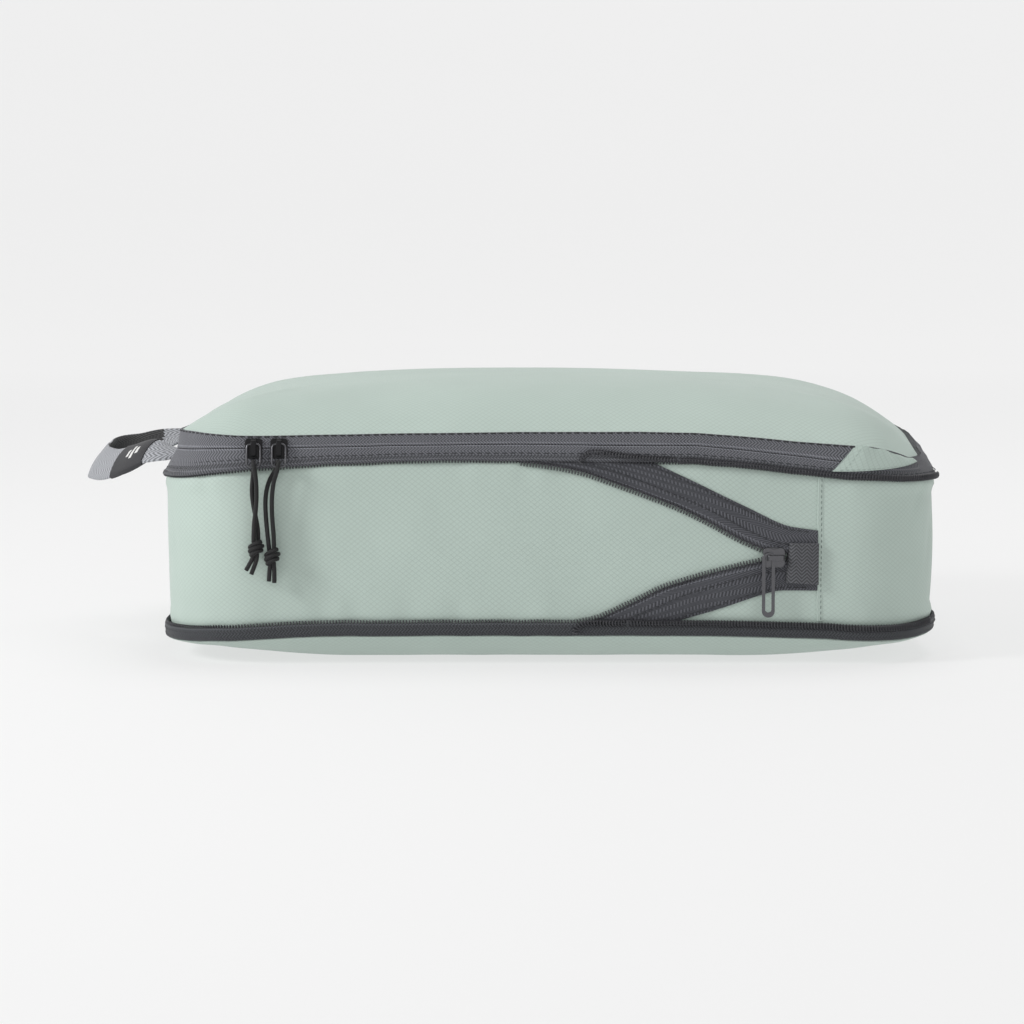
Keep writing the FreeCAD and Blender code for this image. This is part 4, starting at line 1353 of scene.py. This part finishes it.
def ribbon(name, line, width, thickness, sag=0.0):
    """A flat strap along a line of (x, y, z, lean) points."""
    centre = line[:, :3]
    lean = np.radians(line[:, 3])
    along = unit(np.gradient(centre, axis=0))
    level = unit(np.stack([-along[:, 1], along[:, 0], 0 * lean], -1))
    up = unit(np.cross(along, level))
    up = np.where(up[:, 2:3] < 0, -up, up)
    across = -level * np.cos(lean)[:, None] + up * np.sin(lean)[:, None]
    face = unit(np.cross(along, across))
    w, t = width / 2, thickness / 2
    section = [(-w, -t * 0.5), (-w, t * 0.5), (-w * 0.95, t)]
    section += [(w * k / 4, t) for k in (-3, -2, -1, 0, 1, 2, 3)]
    section += [(w * 0.95, t), (w, t * 0.5), (w, -t * 0.5), (w * 0.95, -t)]
    section += [(w * k / 4, -t) for k in (3, 2, 1, 0, -1, -2, -3)]
    section += [(-w * 0.95, -t)]
    section = np.array(section)
    cup = sag * (1 - (section[:, 0] / w) ** 2)
    points = (centre[:, None, :] + section[None, :, :1] * across[:, None, :]
              + (section[None, :, 1:] + cup[None, :, None]) * face[:, None, :])
    lengths = running_lengths(centre)
    us = np.repeat(lengths[:, None], len(section), 1)
    vs = np.repeat(section[None, :, 0] + w, len(centre), 0)
    strap = grid_object(name, points, us, vs, False, True, True, 50)
    strap.data.materials.append(WEBBING)
    strap.data.materials.append(LOOP_PAINTED_SHADE)
    # Faces of the loop's far part that face into the loop take the dark copy: painted shade.
    centre_of_loop = Vector((-205.0, 0.0, 88.0)) * MM
    for polygon in strap.data.polygons:
        towards = centre_of_loop - polygon.center
        faces_in = polygon.normal.dot(towards.normalized()) > 0.05
        in_loop = polygon.center.y > -0.03 and polygon.center.x < -0.2
        polygon.material_index = int(faces_in and in_loop)
    return strap


def make_handle():
    line = catmull(HANDLE_LINE)
    wavy = 0.15 * np.sin(np.arange(len(line)) * 0.35)
    line[:, 2] += wavy * np.clip(np.arange(len(line)) - 20, 0, 20) / 20
    strap = ribbon("handle_strap_webbing", line[6:-4], 19.0, 1.5, -1.8)
    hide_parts("handle_strap")
    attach(strap, "handle")
    lengths = np.linalg.norm(np.diff(line[:, :3], axis=0), axis=1).cumsum()
    start = int(np.searchsorted(lengths, 14.0))
    end = int(np.searchsorted(lengths, 41.0))
    sleeve = ribbon("handle_label_sleeve", line[start:end], 20.0, 2.3, -1.8)
    stand_for(sleeve, LABEL, "handle_label", "handle")
    make_handle_roots(line)


def make_handle_roots(line):
    """The sewn ends of the strap."""
    near = ribbon("handle_root_near", line[:8], 19.2, 1.8, -1.8)
    far = ribbon("handle_root_far", line[-6:], 19.2, 1.8, -1.8)
    roots = join("handle_roots", [near, far])
    stand_for(roots, WEBBING, "handle_anchors", "top_rim")


# ---- stage --------------------------------------------------------------------------------
def make_floor():
    """A pale disc that curves up far away into a backdrop."""
    angles = np.linspace(0, 2 * math.pi, 65)[:, None]
    radius = np.array([0.0, 1000, 2500, 4000, 4700, 5300, 5700, 5900, 6000, 6000])[None, :]
    height = np.array([0.0, 0, 0, 0, 60, 250, 600, 1200, 2500, 6000])[None, :]
    points = np.stack([radius * np.cos(angles), radius * np.sin(angles), height + 0 * angles], -1)
    floor = grid_object("floor", points, angles[:, 0], radius[0])
    m = Shader("pale_floor", 0.9, specular=0.1)
    grain = m.noise(m.position(), 0.01, 2.0)
    pale = (0.28, 0.28, 0.28)
    m.shader.inputs["Emission Color"].default_value = (1, 1, 1, 1)
    at = m.node("ShaderNodeNewGeometry")
    length = m.node("ShaderNodeVectorMath", operation="LENGTH")
    m.link(at.outputs["Position"], length.inputs[0])
    far = m.math("MULTIPLY", m.math("SUBTRACT", length.outputs["Value"], 0.4), 0.4, clamp=True)
    m.link(m.math("MULTIPLY_ADD", far, 0.08, 0.60), m.shader.inputs["Emission Strength"])
    floor.data.materials.append(m.done(m.mix(grain, scaled(pale, 0.99), pale)))


def area_light(name, place_at, target, size, power):
    light = bpy.data.lights.new(name, "AREA")
    light.shape = "DISK"
    light.size = size
    light.energy = power
    obj = new_object(name, light)
    obj.location = place_at
    direction = Vector(target) - Vector(place_at)
    obj.rotation_mode = "QUATERNION"
    obj.rotation_quaternion = direction.to_track_quat("-Z", "Y")


def make_lights():
    area_light("key", (-1.25, -0.62, 0.75), (0, 0, 0.05), 0.45, 11.5)
    area_light("fill", (1.4, -2.0, 0.7), (0, 0, 0.05), 1.6, 0.5)
    area_light("above", (0.35, 0.4, 1.8), (0.05, 0, 0.05), 1.3, 13)
    world = bpy.data.worlds.new("studio")
    bpy.context.scene.world = world
    world.use_nodes = True
    background = world.node_tree.nodes["Background"]
    background.inputs[0].default_value = (1.0, 1.0, 1.0, 1)
    background.inputs[1].default_value = 0.19
    bpy.context.scene.view_settings.view_transform = "Standard"


def make_camera():
    camera = bpy.data.cameras.new("camera")
    camera.sensor_width = 36.0
    camera.lens = 103.0
    obj = new_object("camera", camera)
    elevation = math.radians(5.5)
    distance = 1.492
    aim = Vector((-0.0178, 0.0, 0.0603))
    back = Vector((0, -math.cos(elevation), math.sin(elevation)))
    obj.location = aim + back * distance
    obj.rotation_mode = "QUATERNION"
    obj.rotation_quaternion = (-back).to_track_quat("-Z", "Y")
    camera.clip_start = 0.01
    camera.clip_end = 50.0
    bpy.context.scene.camera = obj


make_camera()
make_main_pulls()
make_walls()
make_bottom_panel()
make_base_rim()
make_top_rim()
make_lid_panel()
make_lid()
make_patches()
make_diagonals()
make_compression_slider()
make_garage_tab()
make_handle()
make_floor()
make_lights()
